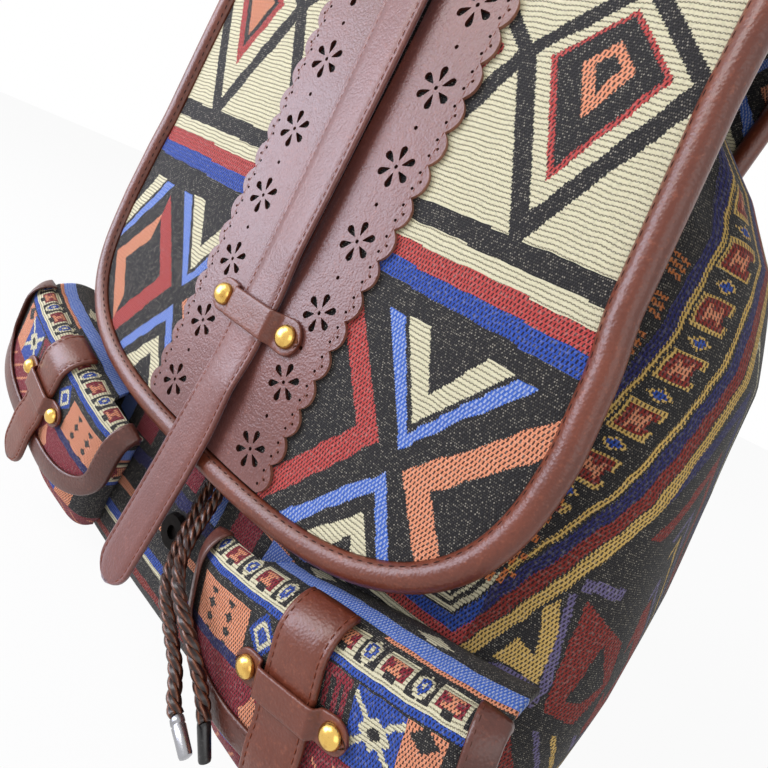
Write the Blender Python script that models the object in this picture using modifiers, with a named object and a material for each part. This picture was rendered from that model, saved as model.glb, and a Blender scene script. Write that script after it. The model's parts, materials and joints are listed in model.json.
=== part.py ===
# Canvas drawstring rucksack with a leather-trimmed flap and two front pockets.
# Metres, +Z up. The bag stands on its base, its front faces -Y, and the origin
# is the centre of the base on the ground.
from math import cos, pi, radians, sin, sqrt

import bmesh
import bpy
import numpy as np
from mathutils import Matrix

# Clearances
GAP = 0.0003
SLOT_GAP = 0.0006
LOOSE = 0.0021

# Main body: height stations with front depth, back depth, half width, squareness
BODY_HEIGHT = 0.298
BODY_WALL = 0.0030
BODY_FRONT = 0.0720
BODY_BACK = 0.0700
BODY_HALF = 0.1570
BASE_THICK = 0.0023
BASE_INSET = 0.0080
BODY_SIDES = 72
PLEATS = 18
PLEAT_DEPTH = 0.0040
NECK_Z = 0.283

# Flap
FLAP_LEAN = radians(6.0)
FLAP_THICK = 0.0022
FLAP_ROW_Z = 0.1080
FLAP_ROW_Y = -0.0770
FLAP_HALF = 0.1190
FLAP_CORNER_T = 0.0550
FLAP_DROP = 0.0720
FLAP_SQUARE = 2.9
FLAP_TOP_HALF = 0.1020
FLAP_BACK_HALF = 0.0860
FLAP_FRONT_LENGTH = 0.1830
FLAP_CROWN_RADIUS = 0.0420
FLAP_CROWN_END = radians(95.0)
FLAP_ROOF = 0.0680
FLAP_BACK_RADIUS = 0.0200
FLAP_TAIL = 0.0360
PIPING_RADIUS = 0.0047

# Lace bands: flowers cut in a leather band with a scalloped outer edge
LACE_THICK = 0.0013
FLOWER_PITCH = 0.0270
FLOWER_LINE = 0.0263
FLOWER_RADIUS = 0.0072
PETALS = 6
PETAL_START = 0.0022
PETAL_HALF = 0.0013
FLOWER_EYE = 0.0009
SPACER_DOT = 0.0009
SCALLOPS_PER_FLOWER = 2.5
SCALLOP_DEPTH = 0.0021
LACE_OUTER = 0.0405
LACE_INNER = 0.0060
LACE_BOTTOM = -0.0105

# Straps, keepers and rivets
STRAP_HALF = 0.0100
STRAP_THICK = 0.0022
STRAP_END = -0.0760
KEEPER_LEVEL = 0.0410
KEEPER_HALF = 0.0068
KEEPER_THICK = 0.0014
KEEPER_END = 0.0066
RIVET_SPREAD = 0.0194
RIVET_CAP = 0.0044
RIVET_DOME = 0.0030
RIVET_POST = 0.0013
RIVET_BACK = 0.0034
RIVET_HOLE = 0.0017

# Front pockets
POCKET_X = 0.0885
POCKET_Z = 0.0810
POCKET_TURN = radians(13.0)
POCKET_HALF = 0.0500
POCKET_LOW = -0.0640
POCKET_HIGH = -0.0020
POCKET_DEPTH = 0.0160
POCKET_WALL = 0.0016
POCKET_FLAP_HALF = 0.0570
POCKET_FLAP_TOP = 0.0090
POCKET_FLAP_LOW = -0.0420
POCKET_FLAP_DEPTH = 0.0212
POCKET_FLAP_THICK = 0.0018
BINDING_WIDTH = 0.0080
BINDING_WALL = 0.0010
BINDING_UNDER = 0.0012
POCKET_STRAP_END = -0.0570
POCKET_KEEPER_LEVEL = -0.0150
POCKET_RIVET_SPREAD = 0.0172

# Drawstring
ROPE_RADIUS = 0.0023
EYELET_RADIUS = 0.0066
EYELET_HOLE = 0.0039
EYELET_THICK = 0.0011

# Back: yoke, handle, shoulder straps and their adjusters
YOKE_HALF = 0.0700
YOKE_LOW = 0.2280
YOKE_HIGH = 0.2740
YOKE_THICK = 0.0024
HANDLE_RADIUS = 0.0050
HANDLE_HALF = 0.0625
HANDLE_TOP = 0.3420
PAD_HALF = 0.0230
PAD_THICK = 0.0090
WEB_HALF = 0.0125
WEB_THICK = 0.0016
SLIDER_HALF = 0.0170
SLIDER_BAR = 0.0012
SLIDER_PITCH = 0.0085

for item in list(bpy.data.objects):
    bpy.data.objects.remove(item)

bag = bpy.data.collections.new("canvas_rucksack")
cutters = bpy.data.collections.new("cutters")
bpy.context.scene.collection.children.link(bag)
bpy.context.scene.collection.children.link(cutters)


def material(name, color, roughness, metallic=0.0):
    made = bpy.data.materials.new(name)
    made.use_nodes = True
    shader = made.node_tree.nodes["Principled BSDF"]
    shader.inputs["Base Color"].default_value = (*color, 1.0)
    shader.inputs["Roughness"].default_value = roughness
    shader.inputs["Metallic"].default_value = metallic
    made.diffuse_color = (*color, 1.0)
    return made


# Smooth helpers

def signed_power(value, power):
    return np.sign(value) * np.abs(value) ** power


def unit(vector):
    vector = np.asarray(vector, float)
    return vector / np.linalg.norm(vector)


def ease(value):
    value = min(1.0, max(0.0, value))
    return value * value * (3 - 2 * value)


# Mesh helpers

def finish(name, bm, look, collection=bag):
    bmesh.ops.recalc_face_normals(bm, faces=bm.faces)
    if bm.calc_volume(signed=True) < 0:
        bmesh.ops.reverse_faces(bm, faces=bm.faces)
    data = bpy.data.meshes.new(name)
    bm.to_mesh(data)
    bm.free()
    if look:
        data.materials.append(look)
    for face in data.polygons:
        face.use_smooth = True
    item = bpy.data.objects.new(name, data)
    collection.objects.link(item)
    return item


def placed_grid(points, wrap):
    """A grid primitive with its vertices moved to points, given as rows by columns."""
    rows, columns = points.shape[:2]
    across = columns if wrap else columns - 1
    bm = bmesh.new()
    bmesh.ops.create_grid(bm, x_segments=across, y_segments=rows - 1, size=1.0)
    for vert in bm.verts:
        column = round((vert.co.x + 1) / 2 * across) % columns
        row = round((vert.co.y + 1) / 2 * (rows - 1))
        vert.co = points[row, column]
    bmesh.ops.remove_doubles(bm, verts=bm.verts, dist=1e-7)
    return bm


def loft(name, rings, look):
    """A closed body over rings of equal count, with both ends filled."""
    bm = placed_grid(np.asarray(rings, float), True)
    bmesh.ops.holes_fill(bm, edges=[edge for edge in bm.edges if edge.is_boundary], sides=0)
    return finish(name, bm, look)


def sheet(name, points, outward, thick, look):
    """A sheet whose outer face passes through points and whose thickness goes inward."""
    bm = placed_grid(np.asarray(points, float), False)
    bmesh.ops.recalc_face_normals(bm, faces=bm.faces)
    facing = sum(face.normal.dot(outward) * face.calc_area() for face in bm.faces)
    if facing < 0:
        bmesh.ops.reverse_faces(bm, faces=bm.faces)
    data = bpy.data.meshes.new(name)
    bm.to_mesh(data)
    bm.free()
    data.materials.append(look)
    for face in data.polygons:
        face.use_smooth = True
    item = bpy.data.objects.new(name, data)
    bag.objects.link(item)
    shell = item.modifiers.new("thickness", "SOLIDIFY")
    shell.thickness = thick
    shell.offset = -1.0
    shell.use_even_offset = True
    return item


def plate(name, outline, holes, thick, look):
    """A flat cut-out in the XY plane from z = 0 up to its thickness, as a bmesh."""
    data = bpy.data.curves.new(name, "CURVE")
    data.dimensions = "2D"
    data.fill_mode = "BOTH"
    data.extrude = thick / 2
    for loop in [outline, *holes]:
        spline = data.splines.new("POLY")
        spline.points.add(len(loop) - 1)
        for point, place in zip(spline.points, loop):
            point.co = (place[0], place[1], 0.0, 1.0)
        spline.use_cyclic_u = True
    helper = bpy.data.objects.new(name + "_outline", data)
    cutters.objects.link(helper)
    bpy.context.view_layer.update()
    flat = bpy.data.meshes.new_from_object(helper)
    bpy.data.objects.remove(helper)
    bm = bmesh.new()
    bm.from_mesh(flat)
    bpy.data.meshes.remove(flat)
    bmesh.ops.remove_doubles(bm, verts=bm.verts, dist=1e-7)
    for vert in bm.verts:
        vert.co.z += thick / 2
    return bm


def frame_matrix(centre, up):
    up = unit(up)
    side = np.cross([0.0, 0.0, 1.0], up)
    side = np.array([1.0, 0.0, 0.0]) if np.linalg.norm(side) < 1e-6 else unit(side)
    other = np.cross(up, side)
    rows = [[side[i], other[i], up[i], centre[i]] for i in range(3)]
    return Matrix([*rows, [0, 0, 0, 1]])


def turned(name, profile, centre, axis, look, steps=12):
    """A round piece: its profile, from top to bottom, screwed round the axis through centre."""
    data = bpy.data.meshes.new(name)
    points = [(radius, 0.0, height) for radius, height in profile]
    data.from_pydata(points, [(i, i + 1) for i in range(len(points) - 1)], [])
    data.materials.append(look)
    item = bpy.data.objects.new(name, data)
    bag.objects.link(item)
    screw = item.modifiers.new("turn", "SCREW")
    screw.steps = steps
    screw.render_steps = steps
    screw.use_merge_vertices = True
    screw.merge_threshold = 0.00001
    screw.use_smooth_shade = True
    item.matrix_world = frame_matrix(centre, axis)
    return item


def drill(item, centre, axis, radius, reach):
    bm = bmesh.new()
    bmesh.ops.create_cone(bm, cap_ends=True, segments=12, radius1=radius, radius2=radius, depth=2 * reach)
    tool = finish(item.name + "_drill", bm, None, cutters)
    tool.matrix_world = frame_matrix(centre, axis)
    tool.hide_render = True
    tool.display_type = "WIRE"
    hole = item.modifiers.new("hole", "BOOLEAN")
    hole.operation = "DIFFERENCE"
    hole.solver = "EXACT"
    hole.object = tool


def tube(name, points, radius, look, resolution=2):
    data = bpy.data.curves.new(name, "CURVE")
    data.dimensions = "3D"
    data.bevel_depth = radius
    data.bevel_resolution = resolution
    data.use_fill_caps = True
    spline = data.splines.new("POLY")
    spline.points.add(len(points) - 1)
    for point, place in zip(spline.points, points):
        point.co = (*place, 1.0)
    data.materials.append(look)
    item = bpy.data.objects.new(name, data)
    bag.objects.link(item)
    return item


def smooth_path(knots, spacing):
    """Evenly spaced points on a Catmull-Rom curve through the knots."""
    knots = np.asarray(knots, float)
    ends = np.vstack([2 * knots[0] - knots[1], knots, 2 * knots[-1] - knots[-2]])
    fine = []
    for i in range(len(knots) - 1):
        a, b, c, d = ends[i : i + 4]
        for step in np.linspace(0, 1, 24, endpoint=False):
            line = 2 * b + (c - a) * step + (2 * a - 5 * b + 4 * c - d) * step**2
            fine.append(0.5 * (line + (3 * b - a - 3 * c + d) * step**3))
    fine.append(knots[-1])
    fine = np.array(fine)
    run = np.concatenate([[0], np.cumsum(np.linalg.norm(np.diff(fine, axis=0), axis=1))])
    count = max(2, round(run[-1] / spacing) + 1)
    where = np.linspace(0, run[-1], count)
    return np.stack([np.interp(where, run, fine[:, axis]) for axis in range(3)], axis=1)


# Each sub-part has its own material

def look_of(name, kind):
    kinds = {
        "jacquard": ((0.10, 0.08, 0.09), 0.85, 0.0),
        "leather": ((0.21, 0.065, 0.03), 0.45, 0.0),
        "dark_leather": ((0.12, 0.035, 0.018), 0.45, 0.0),
        "gold": ((0.80, 0.55, 0.15), 0.2, 1.0),
        "antique": ((0.35, 0.25, 0.12), 0.35, 1.0),
        "rope": ((0.06, 0.02, 0.01), 0.5, 0.0),
        "black": ((0.01, 0.01, 0.01), 0.35, 0.0),
        "steel": ((0.6, 0.6, 0.6), 0.25, 1.0),
        "webbing": ((0.08, 0.03, 0.02), 0.8, 0.0),
    }
    return material(name + "_" + kind, *kinds[kind])


# Main body, one cloth shell: outer wall up, over the gathered rim, inner wall down

body_z = [BASE_THICK + GAP, 0.006, 0.014, 0.035, 0.065, 0.080, 0.092, 0.120, 0.160, 0.200, 0.232, 0.252, 0.268, NECK_Z, BODY_HEIGHT]
body_front = [0.060, 0.066, 0.070, BODY_FRONT, 0.0715, 0.0692, 0.0668, 0.0670, 0.0630, 0.0590, 0.0545, 0.0475, 0.0425, 0.0380, 0.0440]
body_back = [0.058, 0.064, 0.068, BODY_BACK, BODY_BACK, BODY_BACK, BODY_BACK, BODY_BACK, BODY_BACK, BODY_BACK, 0.0680, 0.0620, 0.0520, 0.0400, 0.0460]
body_half = [0.128, 0.134, 0.142, 0.152, BODY_HALF, BODY_HALF, BODY_HALF, 0.155, 0.150, 0.143, 0.130, 0.114, 0.096, 0.078, 0.086]
body_square = [4.0, 4.0, 4.0, 4.0, 4.0, 4.0, 4.0, 4.0, 3.8, 3.5, 3.1, 2.8, 2.5, 2.3, 2.3]
body_pleat = [0, 0, 0, 0, 0, 0, 0, 0, 0, 0, 0.1, 0.3, 0.6, 0.9, 1.0]


def at_height(values, z):
    return float(np.interp(z, body_z, values))


def body_ring(z, inset):
    angle = np.arange(BODY_SIDES) * 2 * pi / BODY_SIDES
    power = 2 / at_height(body_square, z)
    pleat = at_height(body_pleat, z) * PLEAT_DEPTH * np.cos(angle * PLEATS)
    x = signed_power(np.cos(angle), power) * (at_height(body_half, z) - inset)
    front = at_height(body_front, z) - inset
    back = at_height(body_back, z) - inset
    y = signed_power(np.sin(angle), power)
    y = np.where(y < 0, y * front, y * back)
    x = x + pleat * np.cos(angle)
    y = y + pleat * np.sin(angle)
    return np.stack([x, y, np.full(BODY_SIDES, z)], axis=1)


def body_face(x, z):
    """The y of the body's front face."""
    square = at_height(body_square, z)
    share = min(0.999, abs(x) / at_height(body_half, z))
    return -at_height(body_front, z) * (1 - share**square) ** (1 / square)


body_rings = [body_ring(z, 0.0) for z in body_z]
for z in [BODY_HEIGHT, NECK_Z, 0.252, 0.200, 0.120, 0.065, 0.014, 0.0075]:
    body_rings.append(body_ring(z, BODY_WALL))
loft("body_shell", body_rings, look_of("body_shell", "jacquard"))

base_angle = np.arange(40) * 2 * pi / 40
base_outline = np.stack([
    signed_power(np.cos(base_angle), 0.5) * (body_half[0] - BASE_INSET),
    signed_power(np.sin(base_angle), 0.5) * (body_front[0] - BASE_INSET),
], axis=1)
base_bm = plate("base_panel", base_outline, [], BASE_THICK, None)
finish("base_panel", base_bm, look_of("base_panel", "dark_leather"))

# Flap: its outer face runs up the front, over the crown and down the back

crown_length = FLAP_CROWN_RADIUS * (FLAP_CROWN_END - FLAP_LEAN)
back_length = FLAP_BACK_RADIUS * (pi - FLAP_CROWN_END)
crown_start = FLAP_FRONT_LENGTH
roof_start = crown_start + crown_length
turn_start = roof_start + FLAP_ROOF
tail_start = turn_start + back_length
flap_end = tail_start + FLAP_TAIL


def flap_path(t):
    """(y, z, lean) of the flap's outer face at the length t above the last flowers."""
    y, z, lean = FLAP_ROW_Y, FLAP_ROW_Z, FLAP_LEAN
    legs = [
        (crown_start, 0.0),
        (crown_length, FLAP_CROWN_RADIUS),
        (FLAP_ROOF, 0.0),
        (back_length, FLAP_BACK_RADIUS),
        (1.0, 0.0),
    ]
    left = t
    for length, radius in legs:
        part = min(left, length)
        if radius:
            turn = part / radius
            y += radius * (cos(lean) - cos(lean + turn))
            z += radius * (sin(lean + turn) - sin(lean))
            lean += turn
        else:
            y += part * sin(lean)
            z += part * cos(lean)
        left -= part
        if left <= 0:
            break
    return y, z, lean


def flap_normal(t):
    lean = flap_path(t)[2]
    return np.array([0.0, -cos(lean), sin(lean)])


def on_flap(s, t, lift=0.0):
    y, z, _ = flap_path(t)
    side = max(0.0, abs(s) - 0.070)
    return np.array([s, y, z]) + flap_normal(t) * (lift - 1.2 * side * side)


def flap_half(t):
    """Half width of the flap between its piping centres, above the rounded corners."""
    steps = [FLAP_CORNER_T, 0.079, 0.094, 0.150, 0.220, flap_end]
    widths = [FLAP_HALF, 0.1160, 0.1125, 0.1060, FLAP_TOP_HALF, FLAP_BACK_HALF]
    return float(np.interp(t, steps, widths))


PIPING_OUT = 0.0010
flap_columns = 20
corner_rows = 5
half_turn = np.linspace(-pi / 4, pi / 4, flap_columns + 1)


def corner_point(angle):
    """A point of the rounded lower edge, angle 0 at the bottom and pi/2 at the right."""
    s = signed_power(sin(angle), 2 / FLAP_SQUARE) * (FLAP_HALF - PIPING_OUT)
    drop = abs(cos(angle)) ** (2 / FLAP_SQUARE) * (FLAP_DROP - PIPING_OUT)
    return np.array([s, FLAP_CORNER_T - drop])


def corner_patch():
    bottom = [corner_point(angle) for angle in half_turn]
    right = [corner_point(angle) for angle in np.linspace(pi / 4, pi / 2, corner_rows + 1)]
    left = [np.array([-point[0], point[1]]) for point in right]
    top = [np.array([s, FLAP_CORNER_T]) for s in np.linspace(-1, 1, flap_columns + 1) * (FLAP_HALF - PIPING_OUT)]
    rows = []
    for i in range(corner_rows + 1):
        v = i / corner_rows
        row = []
        for j in range(flap_columns + 1):
            u = j / flap_columns
            point = (1 - v) * bottom[j] + v * top[j] + (1 - u) * left[i] + u * right[i]
            point = point - (1 - u) * (1 - v) * bottom[0] - u * (1 - v) * bottom[-1]
            row.append(point - (1 - u) * v * top[0] - u * v * top[-1])
        rows.append(row)
    return rows


crown_stations = list(np.linspace(crown_start, roof_start, 8))
turn_stations = list(np.linspace(turn_start, tail_start, 6))
upper_stations = [0.079, 0.094, 0.122, 0.150, *crown_stations, *turn_stations, flap_end]
flap_plan = corner_patch()
for t in upper_stations:
    half = flap_half(t) - PIPING_OUT
    flap_plan.append([np.array([s, t]) for s in np.linspace(-half, half, flap_columns + 1)])
flap_points = np.array([[on_flap(*point) for point in row] for row in flap_plan])
flap = sheet("flap", flap_points, (0, -1, 0.3), FLAP_THICK, look_of("flap", "jacquard"))

# Rolled leather edge of the flap, slotted for the cloth


def edge_frames(edge, normals):
    """Position, outward direction in the surface, and normal, for each point of an open edge."""
    frames = []
    for i, point in enumerate(edge):
        before = edge[max(0, i - 1)]
        after = edge[min(len(edge) - 1, i + 1)]
        normal = unit(normals[i])
        outward = unit(np.cross(after - before, normal))
        frames.append((point, outward, normal))
    return frames


def edge_strip(name, frames, section, look):
    """A strip along an edge: section points are (outward, normal) offsets."""
    rings = [[point + out * a + normal * b for a, b in section] for point, out, normal in frames]
    return loft(name, rings, look)


flap_edge = [row[0] for row in flap_plan[::-1]] + flap_plan[0][1:-1] + [row[-1] for row in flap_plan]
flap_edge_points = [on_flap(*point) for point in flap_edge]
flap_edge_normals = [flap_normal(point[1]) for point in flap_edge]
slot = FLAP_THICK / 2 + SLOT_GAP
opening = np.arcsin(slot / PIPING_RADIUS)
roll = []
for angle in np.linspace(pi - opening, -pi + opening, 9):
    roll.append((PIPING_OUT + PIPING_RADIUS * cos(angle), PIPING_RADIUS * sin(angle) - FLAP_THICK / 2))
roll.append((SLOT_GAP, -slot - FLAP_THICK / 2))
roll.append((SLOT_GAP, slot - FLAP_THICK / 2))
frames = edge_frames(flap_edge_points, flap_edge_normals)
if frames[0][1][0] > 0:
    frames = [(point, -out, normal) for point, out, normal in frames]
edge_strip("flap_piping", frames, roll, look_of("flap_piping", "leather"))

# Lace bands: petals, eyes and dots cut through, outer edge scalloped


def flower_holes(t):
    holes = []
    for k in range(PETALS):
        turn = k * 2 * pi / PETALS + pi / 2
        petal = [(PETAL_START, 0.0), (0.0052, -PETAL_HALF), (FLOWER_RADIUS, -PETAL_HALF / 2), (FLOWER_RADIUS, PETAL_HALF / 2), (0.0052, PETAL_HALF)]
        holes.append([(FLOWER_LINE + a * cos(turn) - b * sin(turn), t + a * sin(turn) + b * cos(turn)) for a, b in petal])
    holes.append(dot_hole(FLOWER_LINE, t, FLOWER_EYE))
    return holes


def dot_hole(s, t, radius, sides=5):
    return [(s + radius * cos(a), t + radius * sin(a)) for a in np.arange(sides) * 2 * pi / sides]


lace_top = turn_start - 0.004
scallop = FLOWER_PITCH / SCALLOPS_PER_FLOWER


def edge_level(s):
    """Length t at which the flap's lower cloth edge passes s."""
    share = min(1.0, abs(s) / (FLAP_HALF - PIPING_OUT))
    return FLAP_CORNER_T - (FLAP_DROP - PIPING_OUT) * (1 - share**FLAP_SQUARE) ** (1 / FLAP_SQUARE)


def lace_outline():
    points = [(s, edge_level(s) + 0.0044) for s in (LACE_INNER, 0.018, 0.029, LACE_OUTER - SCALLOP_DEPTH)]
    start = points[-1][1]
    count = int((lace_top - start) / scallop)
    pitch = (lace_top - start) / count
    for i in range(count):
        for share in (0.25, 0.5, 0.75, 1.0):
            bulge = SCALLOP_DEPTH * (1 - (2 * share - 1) ** 2)
            points.append((LACE_OUTER - SCALLOP_DEPTH + bulge, start + (i + share) * pitch))
    points.append((LACE_INNER, lace_top))
    return points


lace_lift = GAP
for side, word in ((1, "right"), (-1, "left")):
    holes = []
    for k in range(int(lace_top / FLOWER_PITCH) + 1):
        t = k * FLOWER_PITCH
        if t + FLOWER_RADIUS < lace_top:
            holes.extend(flower_holes(t))
        if t + FLOWER_PITCH / 2 < lace_top:
            holes.append(dot_hole(FLOWER_LINE, t + FLOWER_PITCH / 2, SPACER_DOT))
    holes.append(dot_hole(RIVET_SPREAD, KEEPER_LEVEL, RIVET_HOLE, 10))
    band = plate("lace_band_" + word, lace_outline(), holes, LACE_THICK, None)
    for t in crown_stations:
        everything = band.verts[:] + band.edges[:] + band.faces[:]
        bmesh.ops.bisect_plane(band, geom=everything, dist=1e-6, plane_co=(0, t, 0), plane_no=(0, 1, 0))
    for vert in band.verts:
        vert.co = on_flap(side * vert.co.x, vert.co.y, lace_lift + vert.co.z)
    item = finish("lace_band_" + word, band, look_of("lace_band_" + word, "leather"))
    for face in item.data.polygons:
        face.use_smooth = False

# Centre strap: sewn on over the bands, over the piping, and free below

strap_lift = GAP + LACE_THICK + GAP + STRAP_THICK
strap_stations = [STRAP_END, STRAP_END + 0.004, STRAP_END + 0.012, -0.056, -0.040, -0.026, -0.017, -0.008, 0.004, 0.020, 0.040, 0.100, 0.150, *crown_stations, lace_top]
strap_lifts = [0.0125, 0.0122, 0.0118, 0.0108, 0.0092, 0.0078, 0.0072, 0.0066, 0.0056, strap_lift, strap_lift]
strap_widths = [0.0030, 0.0075, STRAP_HALF, STRAP_HALF]


def strap_rows(stations, lifts, widths, place):
    rows = []
    for i, t in enumerate(stations):
        lift = lifts[min(i, len(lifts) - 1)]
        half = widths[min(i, len(widths) - 1)]
        rows.append([place(share * half, t, lift) for share in (-1, -0.5, 0, 0.5, 1)])
    return rows


sheet("centre_strap", strap_rows(strap_stations, strap_lifts, strap_widths, on_flap), (0, -1, 0.3), STRAP_THICK, look_of("centre_strap", "leather"))

# Keeper tab and domed rivets


def keeper_rows(level, spread, low, high, half_inside, place):
    """A tab over a strap: its ends lie at the lift low and its middle at high."""
    rows = []
    end = spread + KEEPER_END
    foot = spread - RIVET_CAP - 0.0004
    columns = [-end * 0.992, -end * 0.95, -end * 0.88, -spread, -foot, -half_inside]
    columns = columns + [-half_inside / 2, 0.0] + [half_inside / 2] + [-c for c in columns[::-1]]
    for share in (-1.0, -0.5, 0.0, 0.5, 1.0):
        row = []
        for s in columns:
            over = max(0.0, abs(s) - spread) / KEEPER_END
            half = KEEPER_HALF * sqrt(max(0.0, 1 - over * over))
            rise = ease((foot - abs(s)) / (foot - half_inside))
            row.append(place(s, level + share * half, low + (high - low) * rise))
        rows.append(row)
    return rows


def rivet_profile(seat, back):
    """Dome above the seat, post, and a small back cap, as (radius, height)."""
    return [
        (0.0, seat + RIVET_DOME),
        (0.0017, seat + RIVET_DOME * 0.93),
        (0.0033, seat + RIVET_DOME * 0.66),
        (0.0041, seat + RIVET_DOME * 0.32),
        (RIVET_CAP, seat),
        (RIVET_POST, seat),
        (RIVET_POST, back),
        (RIVET_BACK, back),
        (RIVET_BACK, back - 0.0008),
        (0.0, back - 0.0008),
    ]


keeper_low = GAP + LACE_THICK + GAP + KEEPER_THICK
keeper_high = strap_lift + GAP + GAP + KEEPER_THICK
keeper = sheet("keeper_tab", keeper_rows(KEEPER_LEVEL, RIVET_SPREAD, keeper_low, keeper_high, STRAP_HALF + 0.0008, on_flap), (0, -1, 0.3), KEEPER_THICK, look_of("keeper_tab", "leather"))
for side, word in ((1, "right"), (-1, "left")):
    seat = on_flap(side * RIVET_SPREAD, KEEPER_LEVEL)
    axis = flap_normal(KEEPER_LEVEL)
    turned("keeper_rivet_" + word, rivet_profile(keeper_low + GAP, -FLAP_THICK - GAP), seat, axis, look_of("keeper_rivet_" + word, "gold"))
    drill(keeper, seat, axis, RIVET_HOLE, 0.006)
    drill(flap, seat, axis, RIVET_HOLE, 0.006)

# Magnetic closure of the main flap

snap_t = -0.058
snap_face = on_flap(0.0, snap_t, 0.0110 - STRAP_THICK - GAP)
turned("strap_snap", [(0.0, 0.0), (0.0070, 0.0), (0.0070, -0.0016), (0.0024, -0.0016), (0.0024, -0.0026), (0.0, -0.0026)], snap_face - flap_normal(snap_t) * 0.0004, flap_normal(snap_t), look_of("strap_snap", "antique"), 16)
snap_seat = np.array([0.0, body_face(0.0, snap_face[2]) - GAP, snap_face[2]])
turned("body_snap", [(0.0030, 0.0024), (0.0074, 0.0024), (0.0080, 0.0), (0.0, 0.0), (0.0, 0.0008), (0.0030, 0.0008), (0.0030, 0.0024)], snap_seat, (0, -1, 0), look_of("body_snap", "antique"), 16)

# Front pockets


def pocket_xz(side, u, v):
    x = POCKET_X + u * cos(POCKET_TURN) - v * sin(POCKET_TURN)
    z = POCKET_Z + u * sin(POCKET_TURN) + v * cos(POCKET_TURN)
    return side * x, z


def pocket_ring(side, v, half, depth, inset):
    """Flat behind, following the body, and bulging in front."""
    ring = []
    flat = half - inset
    plan = []
    for k in range(15):
        angle = k * pi / 14
        plan.append((float(signed_power(cos(angle), 0.62)) * flat, sin(angle) ** 0.62 if 0 < k < 14 else 0.0))
    for u in np.linspace(-flat, flat, 14)[1:-1]:
        plan.append((float(u), 0.0))
    for u, share in plan:
        x, z = pocket_xz(side, u, v)
        back = body_face(x, z) - LOOSE - inset
        front = -BODY_FRONT - depth + inset
        ring.append((x, back + (front - back) * share, z))
    return ring


def pocket_point(side, u, v, depth):
    x, z = pocket_xz(side, u, v)
    return np.array([x, -BODY_FRONT - depth, z])


def across_depth(u, half):
    """How far the pocket flap's front stands out, from 1 in the middle to less at its sides."""
    return (1 - min(0.98, abs(u) / (half * 1.09)) ** 3.6) ** (1 / 3.6)


flap_shoulder = 0.0100


def on_pocket_flap(side, u, p, lift=0.0):
    """p is the length below the flap's top seam."""
    front = POCKET_FLAP_DEPTH
    turn = min(pi / 2, p / flap_shoulder)
    reach = front - flap_shoulder + flap_shoulder * sin(turn)
    drop = flap_shoulder * (1 - cos(turn)) + max(0.0, p - flap_shoulder * pi / 2)
    normal_out = sin(turn)
    normal_up = cos(turn)
    depth = reach * across_depth(u, POCKET_FLAP_HALF)
    point = pocket_point(side, u, POCKET_FLAP_TOP - drop + lift * normal_up, depth + lift * normal_out)
    return point


def pocket_flap_normal(side, p):
    turn = min(pi / 2, p / flap_shoulder)
    up = np.array([side * -sin(POCKET_TURN), 0.0, cos(POCKET_TURN)])
    return unit(np.array([0.0, -sin(turn), 0.0]) + up * cos(turn))


pocket_front_length = POCKET_FLAP_TOP - POCKET_FLAP_LOW - flap_shoulder + flap_shoulder * pi / 2
pocket_corner = 0.030
shoulder_stations = [flap_shoulder * pi / 2 * share for share in (0.12, 0.36, 0.68, 1.0)]


def pocket_plan():
    """Rows of (u, p) from the seam down, the lower corners rounded."""
    half = POCKET_FLAP_HALF
    straight = pocket_front_length - pocket_corner
    rows = []
    for p in [*shoulder_stations, straight]:
        rows.append([(u, p) for u in np.linspace(-half, half, 17)])
    lower = []
    bottom = [(signed_power(sin(a), 0.8) * half, straight + abs(cos(a)) ** 0.8 * pocket_corner) for a in np.linspace(-pi / 4, pi / 4, 17)]
    side_curve = [(signed_power(sin(a), 0.8) * half, straight + abs(cos(a)) ** 0.8 * pocket_corner) for a in np.linspace(pi / 2, pi / 4, 5)]
    top = rows[-1]
    for i in range(1, 5):
        v = i / 4
        row = []
        for j in range(17):
            u = j / 16
            right = np.array(side_curve[i])
            left = right * np.array([-1, 1])
            point = (1 - v) * np.array(top[j]) + v * np.array(bottom[j]) + (1 - u) * left + u * right
            point = point - (1 - u) * (1 - v) * np.array(top[0]) - u * (1 - v) * np.array(top[-1])
            row.append(tuple(point - (1 - u) * v * np.array(bottom[0]) - u * v * np.array(bottom[-1])))
        lower.append(row)
    return rows + lower


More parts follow.
